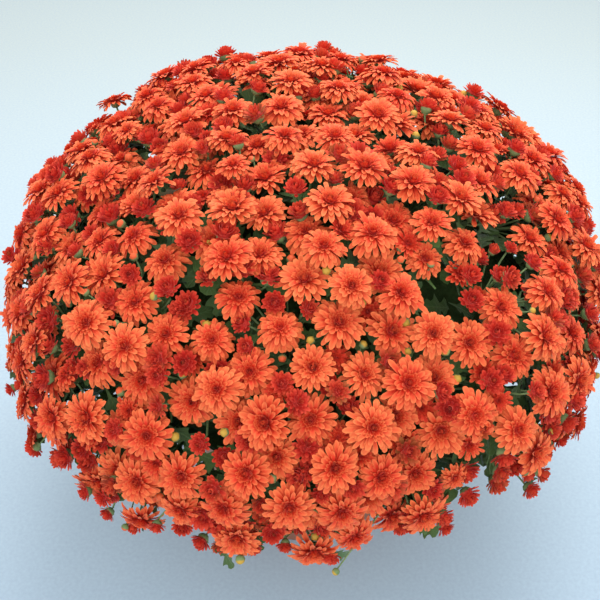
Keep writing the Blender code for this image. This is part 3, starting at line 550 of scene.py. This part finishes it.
def flower_heads(rows, places, loose, age):
    """The petals of many flowers, as points, faces, and for each point its share along the petal, its
    column, how far inward its row is, and a shade of its own flower's age and petal. A petal's sheet
    starts at its row's root, is turned about the flower's axis, scaled by the radius and set at the
    flower's middle. Every petal has its own small turn, slope, length and width."""
    middle, axis, side, other, radius, _ = places
    count, first = len(radius), 0
    opening = chance.normal(0, OPENING_PLAY, (count, 1))
    points, faces, notes = [], [], []
    for petals, stations, root, height, length, low, high, half, inward in rows:
        shape = (count, petals)
        turn = (np.arange(petals) + TURN_PLAY * loose * chance.normal(0, 1, shape)) * 2 * np.pi / petals
        turn = turn + chance.uniform(0, 2 * np.pi, (count, 1))
        nod = np.radians(SLOPE_PLAY) * loose * (chance.normal(0, 1, shape) + opening)
        sheet, share = petal_sheets(
            stations,
            (length * (1 + LENGTH_PLAY * loose * chance.normal(0, 1, shape))).reshape(-1),
            (np.radians(low) + nod).reshape(-1),
            (np.radians(high) + 2 * nod).reshape(-1),
            (half * (1 + WIDTH_PLAY * loose * chance.normal(0, 1, shape))).reshape(-1),
            (EDGE_LIFT * (1 + LIFT_PLAY * loose * chance.normal(0, 1, shape))).reshape(-1),
        )
        sheet = sheet.reshape(count, petals, stations, 3, 3)
        twist = (TWIST_PLAY * loose * chance.normal(0, 1, shape))[:, :, None, None]
        out, over = sheet[..., 0] + root, sheet[..., 1]
        up = sheet[..., 2] + height + over * twist
        cos, sin = np.cos(turn)[:, :, None, None], np.sin(turn)[:, :, None, None]
        size = radius[:, None, None, None, None]
        ways = [v[:, None, None, None, :] for v in (side, other, axis)]
        local = [out * cos - over * sin, out * sin + over * cos, up]
        point = sum(part[..., None] * way for part, way in zip(local, ways)) * size
        points.append((point + middle[:, None, None, None, :]).reshape(count, -1, 3))
        one = grid_faces(stations, 3, closed=False)[:, ::-1]
        each = one[None] + np.arange(petals)[:, None, None] * 3 * stations + first
        faces.append(each.reshape(-1, 4))
        first += petals * stations * 3
        shade = AGE_IN_SHADE * age[:, None] + (1 - AGE_IN_SHADE) * chance.rand(count, petals)
        kept = (share[:, None], ACROSS, inward, shade[:, :, None, None])
        kept = np.stack([np.broadcast_to(part, (count, petals, stations, 3)) for part in kept])
        notes.append(kept.reshape(4, count, -1))
    faces = np.concatenate(faces)[None] + np.arange(count)[:, None, None] * first
    notes = np.concatenate(notes, axis=2)
    return np.concatenate(points, axis=1).reshape(-1, 3), faces.reshape(-1, 4), notes.reshape(4, -1)


def together(*parts):
    """Several sets of points, faces and notes as one set."""
    starts = np.cumsum([0] + [len(part[0]) for part in parts[:-1]])
    points = np.concatenate([part[0] for part in parts])
    faces = np.concatenate([part[1] + start for part, start in zip(parts, starts)])
    return points, faces, np.concatenate([part[2] for part in parts], axis=1)


def read_note(tone, name):
    """The number that a piece keeps at each point."""
    return tone.new("Attribute", {"attribute_name": name}, output=2)


PETAL_SHINE = {"Specular IOR Level": 0.2, "Sheen Weight": 0.06, "Sheen Roughness": 0.4}
petal, place, feed = finish_for("orange_ray_petal", PETAL_SHINE)
along, over, inward, shade = (read_note(place, name) for name in PETAL_NOTES)
rib_space = over.new("CombineXYZ", {}, {0: over, 1: along * 0.2, 2: shade * 9.0})
rib = over.new(
    "TexWave",
    {"wave_type": "BANDS", "bands_direction": "X"},
    {"Vector": rib_space, "Scale": 1.3, "Distortion": 1.0, "Detail": 1.0},
)
mottle = place.new("TexNoise", {}, {"Vector": place, "Scale": 330.0, "Detail": 2.0})
# Each petal is lighter at its tip and along its edges. The paler tip is the petal's own colour. The lighter
# edge is partly a yellower margin and partly a painted highlight.
edge, tip = over * over, along * along
glow = (tip * 0.94 + edge * 0.34 - inward * 0.30 - shade * 0.42 + mottle * 0.34 - 0.17).within()
colour = glow.blend((0.750, 0.040, 0.015), (0.985, 0.255, 0.076))
deep = (inward * 0.9 - tip * 0.65 + shade * 0.15 - 0.10).within()
colour = deep.blend(colour, (0.760, 0.046, 0.018))
# Towards its root each petal turns dark red. This is partly its own deeper colour there and partly painted
# shade where the petals crowd together. The inner rows get less of it.
root = (1 - along * 2.6).within() * (0.45 - inward * 0.25)
colour = root.blend(colour, (0.480, 0.020, 0.010))
feed("Base Color", (rib * 0.34 * (1 - inward)).within().blend(colour, (0.640, 0.030, 0.014)))
feed("Roughness", 0.48 + mottle * 0.2)
feed("Normal", place.new("Bump", {}, {"Strength": 0.35, "Distance": 0.0005, "Height": rib + mottle * 0.4}))

# The blooms are parted into pieces by the direction of their spray, as seen from above. Each kind has
# its rows, its places and the age of its youngest: a small bloom is redder, because it is younger.
OPEN_SHRINK = 0.985
OPEN_TILT = 0.07
SECTORS = 8
AGE_SPREAD = 0.8
blooms = placed(blooms[0], scattered(blooms[1], OPEN_TILT), blooms[4] * OPEN_SHRINK, blooms[5])
bloom_kinds = [(BLOOM_ROWS, blooms, 0.0), (SMALL_BLOOM_ROWS, small_blooms, 0.9)]
heading = np.arctan2(forks[:, 1], forks[:, 0])
sector_of = np.empty(len(forks), int)
for sector, members in enumerate(np.array_split(np.argsort(heading), SECTORS)):
    sector_of[members] = sector
for sector in range(SECTORS):
    heads = []
    for rows, flowers, youngest in bloom_kinds:
        here = [column[sector_of[flowers[5]] == sector] for column in flowers]
        age = youngest + chance.uniform(0, AGE_SPREAD, len(here[4]))
        heads.append(flower_heads(rows, here, 1.0, age))
    points, faces, notes = together(*heads)
    notes = dict(zip(PETAL_NOTES, notes))
    piece = piece_of(f"blooms_{sector + 1}", points, faces, petal, "petal", **notes)
    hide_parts(*[name for name, s in zip(spray_nodes, sector_of) if s == sector])

# the half-open blooms
# Younger flowers, still a tight deep red button on a green cup: the short petals stand in rings that
# rise to a low dome, their tips side by side, and only the outer ring has begun to spread.

# The same columns as for the open blooms.
CUP_ROWS = [
    (13, 3, 0.40, -0.50, 0.80, 14, 40, 0.205, 0.10),
    (13, 3, 0.36, -0.38, 0.80, 38, 56, 0.180, 0.30),
    (10, 3, 0.30, -0.26, 0.76, 54, 76, 0.170, 0.50),
    (7, 3, 0.20, -0.16, 0.66, 64, 96, 0.150, 0.75),
    (4, 3, 0.08, -0.10, 0.60, 78, 108, 0.135, 1.00),
]
# Half-open flowers among the open ones are drawn this much larger and higher than in the solids.
CUP_GROWTH = 1.10
CUP_RISE = 0.0045
CUP_LOOSE = 0.9
CUP_PIECES = 2

red_petal, place, feed = finish_for("red_young_petal", PETAL_SHINE)
along, over, inward, shade = (read_note(place, name) for name in PETAL_NOTES)
mottle = place.new("TexNoise", {}, {"Vector": place, "Scale": 420.0, "Detail": 2.0})
tip = along * along
glow = (tip * 0.75 + over * over * 0.2 - inward * 0.1 - shade * 0.45 + mottle * 0.35).within()
red = glow.blend((0.580, 0.025, 0.018), (0.860, 0.110, 0.046))
dimple = ((inward - 0.8) * 5.0 * (shade - 0.35)).within() * 0.7
feed("Base Color", dimple.blend(red, (0.22, 0.13, 0.03)))
feed("Roughness", 0.48 + mottle * 0.2)
feed("Normal", place.new("Bump", {}, {"Strength": 0.3, "Distance": 0.0004, "Height": mottle}))

all_cups = joined(cups, gap_cups)
all_cups[0] = all_cups[0] + all_cups[1] * CUP_RISE
all_cups[4] = all_cups[4] * CUP_GROWTH
all_cups = joined(all_cups, rim_cups)
for part in range(CUP_PIECES):
    here = [column[all_cups[5] % CUP_PIECES == part] for column in all_cups]
    points, faces, notes = flower_heads(CUP_ROWS, here, CUP_LOOSE, chance.rand(len(here[4])))
    notes = dict(zip(PETAL_NOTES, notes))
    piece_of(f"half_open_blooms_{part + 1}", points, faces, red_petal, "petal", **notes)

# green cups, buds and stalks
# Under every flower sits a cup of green scales on a thin stalk, and a bud is such a cup that is still
# closed over its petals. The stalks of a spray meet at a fork, and a branch runs from there to one
# of the six main stems, which stand in the soil.

STATIONS = 6
BRANCH_STATIONS = 9
MAIN_STEMS = 6
# A rod's note of the share along it ends here, so that the whole rod stays green.
GREEN_PART = 0.3
# Each main stem stands at a radius and a height, and ends at a second radius and height.
MAIN_FOOT = (0.036, SOIL_TOP - 0.010)
MAIN_HEAD = (0.070, 0.212)
MAIN_RADII = np.linspace(0.0042, 0.0028, BRANCH_STATIONS)
BRANCH_RADII = np.linspace(0.0024, 0.0016, BRANCH_STATIONS)
STALK_TAPER = np.linspace(1.15, 0.95, STATIONS)


def rods(lines, radii, sides):
    """Round rods along many lines of points: each point gets a ring square to the line there, and the
    ends are closed at the first and the last point."""
    way = unit(np.gradient(lines, axis=1))
    helper = np.where(np.abs(way[..., 2:3]) < 0.9, [0.0, 0.0, 1.0], [1.0, 0.0, 0.0])
    side = unit(np.cross(way, helper))
    other = np.cross(way, side)
    angle = np.linspace(0, 2 * np.pi, sides, endpoint=False)[:, None]
    ring = side[..., None, :] * np.cos(angle) + other[..., None, :] * np.sin(angle)
    points = lines[..., None, :] + ring * radii[..., None, None]
    ends = np.repeat(lines[:, [0, -1], None], sides, axis=2)
    points = np.concatenate([ends[:, :1], points, ends[:, 1:]], axis=1)
    one = grid_faces(points.shape[1], sides, closed=True)
    faces = one[None] + np.arange(len(lines))[:, None, None] * points.shape[1] * sides
    share = np.broadcast_to(np.linspace(0, 1, points.shape[1])[None, :, None], points.shape[:3]).reshape(-1)
    return points.reshape(-1, 3), faces.reshape(-1, 4), np.stack([GREEN_PART * share, 0 * share])


def bent(start, start_way, end, end_way, stations):
    """Smooth lines between two ends: a cubic that leaves and arrives along the given directions."""
    t = np.linspace(0, 1, stations)[None, :, None]
    reach = np.linalg.norm(end - start, axis=-1)[:, None, None]
    leave, arrive = start_way[:, None] * reach, end_way[:, None] * reach
    line = (2 * t**3 - 3 * t**2 + 1) * start[:, None] + (3 * t**2 - 2 * t**3) * end[:, None]
    return line + (t**3 - 2 * t**2 + t) * leave + (t**3 - t**2) * arrive


def turned_cups(places, outline, sides, ripple, kind):
    """Turned shapes round flowers' axes from (radius, height, share along), in shares of the flower's
    radius, which start and end on the axis. The radius is times 1 + ripple cos(sides / 2 a), which
    shows the scales. The kind is 1 for a bud and 0 for a cup."""
    middle, axis, side, other, radius, _ = places
    wide, high, share = np.array(outline).T[:, None, :, None]
    angle = np.linspace(0, 2 * np.pi, sides, endpoint=False)
    wide = wide * (1 + ripple * np.cos(sides / 2 * angle))
    ring = side[:, None, None] * np.cos(angle)[:, None] + other[:, None, None] * np.sin(angle)[:, None]
    shape = wide[..., None] * ring + high[..., None] * axis[:, None, None]
    points = middle[:, None, None] + radius[:, None, None, None] * shape
    one = grid_faces(len(outline), sides, closed=True)
    faces = one[None] + np.arange(len(middle))[:, None, None] * len(outline) * sides
    share = np.broadcast_to(share, points.shape[:3]).reshape(-1)
    return points.reshape(-1, 3), faces.reshape(-1, 4), np.stack([share, np.full(share.shape, kind)])


OPEN_CUP = [
    (0.00, -0.44, 0.0),
    (0.22, -0.36, 0.3),
    (0.28, -0.18, 0.6),
    (0.12, 0.02, 0.9),
    (0.00, 0.04, 1.0),
]
YOUNG_CUP = [
    (0.00, -1.12, 0.0),
    (0.38, -0.98, 0.2),
    (0.62, -0.62, 0.5),
    (0.50, -0.22, 0.9),
    (0.00, -0.10, 1.0),
]
BUD = [
    (0.00, -1.10, 0.00),
    (0.80, -0.72, 0.15),
    (1.02, -0.15, 0.40),
    (0.92, 0.34, 0.62),
    (0.60, 0.74, 0.80),
    (0.24, 0.92, 0.92),
    (0.00, 0.88, 1.00),
]


def stalks_to(places, depth):
    """A thin stalk from each flower's spray's fork, which leaves outward and arrives along its axis."""
    middle, axis, _, _, radius, spray = places
    neck = middle - axis * (radius * depth)[:, None]
    home = forks[spray]
    return bent(home, unit(home - bush_middle), neck, axis * 0.9, STATIONS)


# Each row: the flowers, how far under a flower's middle its stalk ends (share of its radius), and the
# stalk's own radius.
all_buds = joined(gap_buds, rim_buds)
stalk_sets = [
    (blooms, 0.42, 0.00110),
    (small_blooms, 0.42, 0.00095),
    (all_cups, 1.12, 0.00095),
    (all_buds, 1.05, 0.00070),
]
small_stalks = [stalks_to(places, depth) for places, depth, _ in stalk_sets]
thin_lines = np.concatenate(small_stalks)
thin_radii = [np.full(len(lines), row[2]) for lines, row in zip(small_stalks, stalk_sets)]
thin_radii = np.concatenate(thin_radii)[:, None] * STALK_TAPER

turns = np.arange(MAIN_STEMS) * 2 * np.pi / MAIN_STEMS
outward = np.stack([np.cos(turns), np.sin(turns), 0 * turns], axis=-1)
up = np.array([0.0, 0.0, 1.0])
main_heads = MAIN_HEAD[0] * outward + MAIN_HEAD[1] * up
main_feet = MAIN_FOOT[0] * outward + MAIN_FOOT[1] * up
uprights = np.broadcast_to(up, main_feet.shape)
main_lines = bent(main_feet, uprights, main_heads, uprights * 0.5, BRANCH_STATIONS)
nearest = np.argmin(np.linalg.norm(forks[:, None] - main_heads[None], axis=-1), axis=1)
fork_way = unit(forks - bush_middle)
rising = np.broadcast_to(up * 0.6, forks.shape)
branch_lines = bent(main_heads[nearest], rising, forks, fork_way * 0.8, BRANCH_STATIONS)

stem_green, place, feed = finish_for("green_stem_and_scales", {"Specular IOR Level": 0.3})
along, bud = read_note(place, "along"), read_note(place, "bud")
streak = place.new("TexNoise", {}, {"Vector": place, "Scale": 180.0, "Detail": 3.0})
tint = place.new("TexNoise", {}, {"Vector": place, "Scale": 25.0, "Detail": 2.0})
green = (streak * 0.5 + tint * 0.6 - 0.05).within().blend((0.060, 0.120, 0.032), (0.300, 0.400, 0.165))
ripe = tint.new("TexNoise", {}, {"Vector": place, "Scale": 9.0, "Detail": 0.0})
tip = ((ripe - 0.44) * 30.0).within().blend((0.560, 0.330, 0.045), (0.760, 0.110, 0.030))
showing = ((along - 0.50) * 6.0 + (streak - 0.5) * 2.0).within() * bud
inside = ((along - 0.62) * 8.0).within() * (1 - bud)
feed("Base Color", inside.blend(showing.blend(green, tip), (0.520, 0.024, 0.012)))
feed("Roughness", 0.5 + streak * 0.2)
feed("Normal", place.new("Bump", {}, {"Strength": 0.4, "Distance": 0.0004, "Height": streak}))

# The last numbers are the sides round each rod or cup, then a cup's ripple and kind.
points, faces, notes = together(
    rods(thin_lines, thin_radii, 4),
    rods(branch_lines, np.broadcast_to(BRANCH_RADII, branch_lines.shape[:2]), 6),
    rods(main_lines, np.broadcast_to(MAIN_RADII, main_lines.shape[:2]), 8),
    turned_cups(joined(blooms, small_blooms), OPEN_CUP, 6, 0.0, 0.0),
    turned_cups(all_cups, YOUNG_CUP, 8, 0.08, 0.0),
    turned_cups(all_buds, BUD, 10, 0.06, 1.0),
)
piece_of("stalks_cups_and_buds", points, faces, stem_green, "leaf", along=notes[0], bud=notes[1])

# the leaves
# Grey-green leaves with two pairs of round lobes and a lobed end, soft and a little hairy. They stand
# alternately on the stalks and branches, close together under the flowers, and hang over the pot.

LEAF_SHARES = np.array([0.0, 0.14, 0.26, 0.33, 0.40, 0.46, 0.52, 0.60, 0.68, 0.74, 0.80, 0.87, 0.95, 1.0])
LEAF_WIDTHS = np.array([0.02, 0.03, 0.05, 0.17, 0.23, 0.13, 0.10, 0.27, 0.31, 0.18, 0.13, 0.19, 0.13, 0.015])
LOBE_LEAN = 0.42
# The least and the most of a leaf's fold, arch and wave, as shares of its length.
FOLDS, ARCHES, WAVES = (0.1, 0.6), (0.05, 0.4), (0.0, 0.3)
LOWEST_LEAF = 0.175
MIDDLE_HEIGHT = 0.285
SKIRT_REACH = (0.205, 0.235)
SKIRT_RISE = 0.090
# The shortest and the longest leaf of a kind, and how far its tip may stand over a flower.
UPPER_LEAF = (0.024, 0.042, -0.004)
RIM_LEAF = (0.018, 0.030, 0.010)
SKIRT_LEAF = (0.042, 0.062, 0.006)
LEAF_NOTES = ("along", "over", "shade")


def leaf_blades(foot, along, face_up, length):
    """Leaves on a grid along the midrib and across it. The half width follows LEAF_WIDTHS, lobes lean
    forward by a share of their width, the halves fold up in a V, the midrib arches down with the square
    of the share along it, and the edge waves."""
    along = unit(along)
    lift, _ = across(along, face_up)
    side = np.cross(along, lift)
    count = len(foot)
    bounds = (FOLDS, ARCHES, WAVES)
    fold, arch, wave = (chance.uniform(low, high, (count, 1, 1)) for low, high in bounds)
    share = LEAF_SHARES[None, :, None]
    wide = LEAF_WIDTHS[None, :, None] * ACROSS
    forward = share + LOBE_LEAN * np.abs(wide)
    high = fold * np.abs(wide) - arch * share**2 + wave * np.sin(16 * share + 2 * ACROSS) * np.abs(wide)
    parts = ((forward, along), (wide, side), (high, lift))
    shape = sum(part[..., None] * way[:, None, None] for part, way in parts)
    points = foot[:, None, None] + length[:, None, None, None] * shape
    one = grid_faces(len(LEAF_SHARES), 3, closed=False)
    faces = one[None] + np.arange(count)[:, None, None] * points.shape[1] * points.shape[2]
    shade = chance.rand(count, 1, 1)
    notes = [np.broadcast_to(part, points.shape[:3]).reshape(-1) for part in (share, ACROSS, shade)]
    return points.reshape(-1, 3), faces.reshape(-1, 4), np.stack(notes)


def leaves_on(lines, each, first, last, lean, spread):
    """Feet and directions of leaves that stand on lines of points, between two of their stations. A
    direction is the line's own times a lean, and then scattered."""
    which = np.repeat(np.arange(len(lines)), each)
    step = chance.randint(first, last, len(which))
    way = unit(np.gradient(lines, axis=1))[which, step]
    return lines[which, step], scattered(way * lean, spread)


def skirt(count, down, dip):
    """Feet and directions of leaves in a ring on the leafy middle, at an angle down from its top. They
    point outward and fall by a dip for each unit outward."""
    turn = (np.arange(count) + chance.uniform(0, 0.8, count)) * 2 * np.pi / count
    down = np.radians(down) + chance.normal(0, 0.06, count)
    outward = np.stack([np.cos(turn), np.sin(turn), 0 * turn], axis=-1)
    foot = chance.uniform(*SKIRT_REACH, (count, 1)) * np.sin(down)[:, None] * outward
    foot = foot + up * (MIDDLE_HEIGHT + SKIRT_RISE * np.cos(down))[:, None]
    return foot, scattered(outward - up * dip, 0.2)


under_gap = gap_spot - gap_way * chance.uniform(0.014, 0.030, (len(gap_spot), 1))
gap_leaf_way = unit(np.cross(gap_way, chance.normal(0, 1, gap_way.shape)))
rim_stalks = small_stalks[2][-len(rim_cups[4]) :]

# Each set: feet and directions, then the kind of leaf. The first lie flat under the gaps. The others
# stand on the blooms' stalks, the branches, the stalks at the lower edge, and in four rings.
leaf_sets = [
    (under_gap - gap_leaf_way * 0.015, gap_leaf_way, *UPPER_LEAF),
    (*leaves_on(small_stalks[0], 2, 0, 4, 0.55, 0.5), *UPPER_LEAF),
    (*leaves_on(branch_lines, 5, 3, 9, 0.5, 0.6), *UPPER_LEAF),
    (*leaves_on(rim_stalks, 2, 2, 6, 0.6, 0.5), *RIM_LEAF),
    (*skirt(70, 92, 0.00), *SKIRT_LEAF),
    (*skirt(70, 106, 0.20), *SKIRT_LEAF),
    (*skirt(44, 122, 0.45), *SKIRT_LEAF),
    (*skirt(40, 142, 0.55), *SKIRT_LEAF),
]
leaf_feet, leaf_ways = (np.concatenate([row[column] for row in leaf_sets]) for column in (0, 1))
shortest, longest, most_over = (
    np.concatenate([np.full(len(row[0]), row[column]) for row in leaf_sets]) for column in (2, 3, 4)
)
leaf_length = chance.uniform(shortest, longest)
leaf_up = scattered((leaf_feet - bush_middle) * 3.0 + up * 0.4, 0.25)

leaf_green, place, feed = finish_for(
    "lobed_leaf", {"Specular IOR Level": 0.3, "Sheen Weight": 0.2, "Sheen Roughness": 0.5}
)
along, over, shade = (read_note(place, name) for name in LEAF_NOTES)
width = over.sum("ABSOLUTE", over, 0.0)
midrib = 1 - (width * 9.0).within()
ladder = (over.sum("PINGPONG", along * 9.0 - width * 1.6, 0.5) * 2.0) ** 6.0
vein = (midrib + ladder * 0.6).within()
mottle = place.new("TexNoise", {}, {"Vector": place, "Scale": 150.0, "Detail": 3.0})
blade = (shade * 0.7 + mottle * 0.5 - 0.15).within().blend((0.020, 0.050, 0.012), (0.110, 0.200, 0.042))
feed("Base Color", (vein * 0.35).within().blend(blade, (0.15, 0.25, 0.085)))
feed("Roughness", 0.52 + mottle * 0.2)
feed("Normal", place.new("Bump", {}, {"Strength": 0.5, "Distance": 0.0006, "Height": mottle - vein}))

# A leaf whose tip would stand over the nearest flower is left off, and so is one that hangs too low.
leaf_tips = leaf_feet + leaf_ways * leaf_length[:, None]
closest = np.argmin(np.linalg.norm(leaf_tips[:, None] - blooms[0][None], axis=-1), axis=1)
over_flower = ((leaf_tips - blooms[0][closest]) * blooms[1][closest]).sum(axis=-1)
fits = (over_flower < most_over) & (leaf_tips[:, 2] > LOWEST_LEAF)
points, faces, notes = leaf_blades(leaf_feet[fits], leaf_ways[fits], leaf_up[fits], leaf_length[fits])
notes = dict(zip(LEAF_NOTES, notes))
foliage = piece_of("leaves", points, faces, leaf_green, "leaf", **notes)
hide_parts("leafy_stems")

# the shaded middle of the bush
# Deep inside, older leaves and twigs lie so close that no light comes through. They are one lumpy
# mass here, coloured near black as painted shade: a ball flattened more below than above, whose radius waves
# with both of its angles.

MASS_ROWS, MASS_COLUMNS = 40, 80
MASS_RADIUS = 0.216
MASS_ABOVE = 0.134
MASS_BELOW = 0.085
down = np.linspace(0, np.pi, MASS_ROWS)[:, None]
round_it = np.linspace(0, 2 * np.pi, MASS_COLUMNS, endpoint=False)[None, :]
lump = 0.05 * np.sin(9 * round_it + 4 * down) * np.sin(11 * down)
lump = lump + 0.04 * np.sin(17 * round_it - 6 * down)
lump = lump + chance.normal(0, 0.015, (MASS_ROWS, MASS_COLUMNS))
lump = 1 + lump * np.sin(down)
tall = np.where(down < np.pi / 2, MASS_ABOVE, MASS_BELOW)
x = MASS_RADIUS * np.sin(down) * np.cos(round_it) * lump
y = MASS_RADIUS * np.sin(down) * np.sin(round_it) * lump
z = MIDDLE_HEIGHT + tall * np.cos(down) * lump
shaded, place, feed = finish_for("shaded_leaf_mass", {"Specular IOR Level": 0.1, "Roughness": 0.9})
mottle = place.new("TexNoise", {}, {"Vector": place, "Scale": 90.0, "Detail": 4.0})
# The near-black colour is painted shade of the bush's deep inside.
feed("Base Color", mottle.blend((0.008, 0.014, 0.004), (0.050, 0.090, 0.026)))
feed("Normal", place.new("Bump", {}, {"Strength": 1.0, "Distance": 0.006, "Height": mottle}))
mass_faces = grid_faces(MASS_ROWS, MASS_COLUMNS, closed=True)[:, ::-1]
piece_of("shaded_middle", np.stack([x, y, z], axis=-1), mass_faces, shaded, "leaf")

# floor, light and camera
# A plain pale blue-grey floor, its colour bluer near the front and paler far back as painted light, under
# soft, even daylight from above, seen from in front and above.

floor_mesh = bpy.data.meshes.new("floor")
floor_mesh.from_pydata([(-6, -4, 0), (6, -4, 0), (6, 9, 0), (-6, 9, 0)], [], [(0, 1, 2, 3)])
floor = bpy.data.objects.new("floor", floor_mesh)
bpy.context.scene.collection.objects.link(floor)
felt, place, feed = finish_for("pale_floor", {"Roughness": 0.9, "Specular IOR Level": 0.1})
speck = place.new("TexNoise", {}, {"Vector": place, "Scale": 260.0, "Detail": 3.0})
# The floor's colour runs from bluer and a little lighter near the front to paler far back. This is painted
# light: a fall-off of the daylight across the floor, with the near part lifted against the bush's shadow.
far = place.new("SeparateXYZ", {}, {0: place}, output=1)
reach = ((far + 0.5) * 0.62).within()
pale = reach.blend((0.475, 0.620, 0.750), (0.515, 0.575, 0.550))
feed("Base Color", ((speck - 0.3) * 0.9).within().blend(pale, (0.34, 0.44, 0.55)))
floor_mesh.materials.append(felt)

world = bpy.data.worlds.new("daylight")
bpy.context.scene.world = world
world.use_nodes = True
world.node_tree.nodes["Background"].inputs["Color"].default_value = (0.93, 0.96, 1.0, 1.0)
world.node_tree.nodes["Background"].inputs["Strength"].default_value = 1.08


def soft_light(name, place, aim, size, power):
    """A square light that shines from a place towards a point."""
    lamp = bpy.data.lights.new(name, "AREA")
    lamp.size, lamp.energy = size, power
    light = bpy.data.objects.new(name, lamp)
    light.location = place
    light.rotation_euler = (Vector(aim) - Vector(place)).to_track_quat("-Z", "Y").to_euler()
    bpy.context.scene.collection.objects.link(light)


soft_light("window", (-0.1, -1.9, 1.6), (0, 0, 0.2), 2.2, 20.0)
soft_light("sky", (0.2, 0.6, 1.5), (0, 0, 0.35), 1.2, 18.0)

SENSOR = 36.0
LENS_PER_SENSOR = 1.71
CAMERA_TILT = math.radians(40)
CAMERA_DISTANCE = 1.03
camera_data = bpy.data.cameras.new("camera")
camera_data.sensor_width = SENSOR
camera_data.lens = SENSOR * LENS_PER_SENSOR
camera = bpy.data.objects.new("camera", camera_data)
target = Vector((-0.0045, 0.0, 0.264))
back = Vector((0.0, -math.cos(CAMERA_TILT), math.sin(CAMERA_TILT)))
camera.location = target + back * CAMERA_DISTANCE
camera.rotation_euler = (-back).to_track_quat("-Z", "Y").to_euler()
bpy.context.scene.collection.objects.link(camera)
bpy.context.scene.camera = camera
bpy.context.scene.view_settings.view_transform = "Standard"
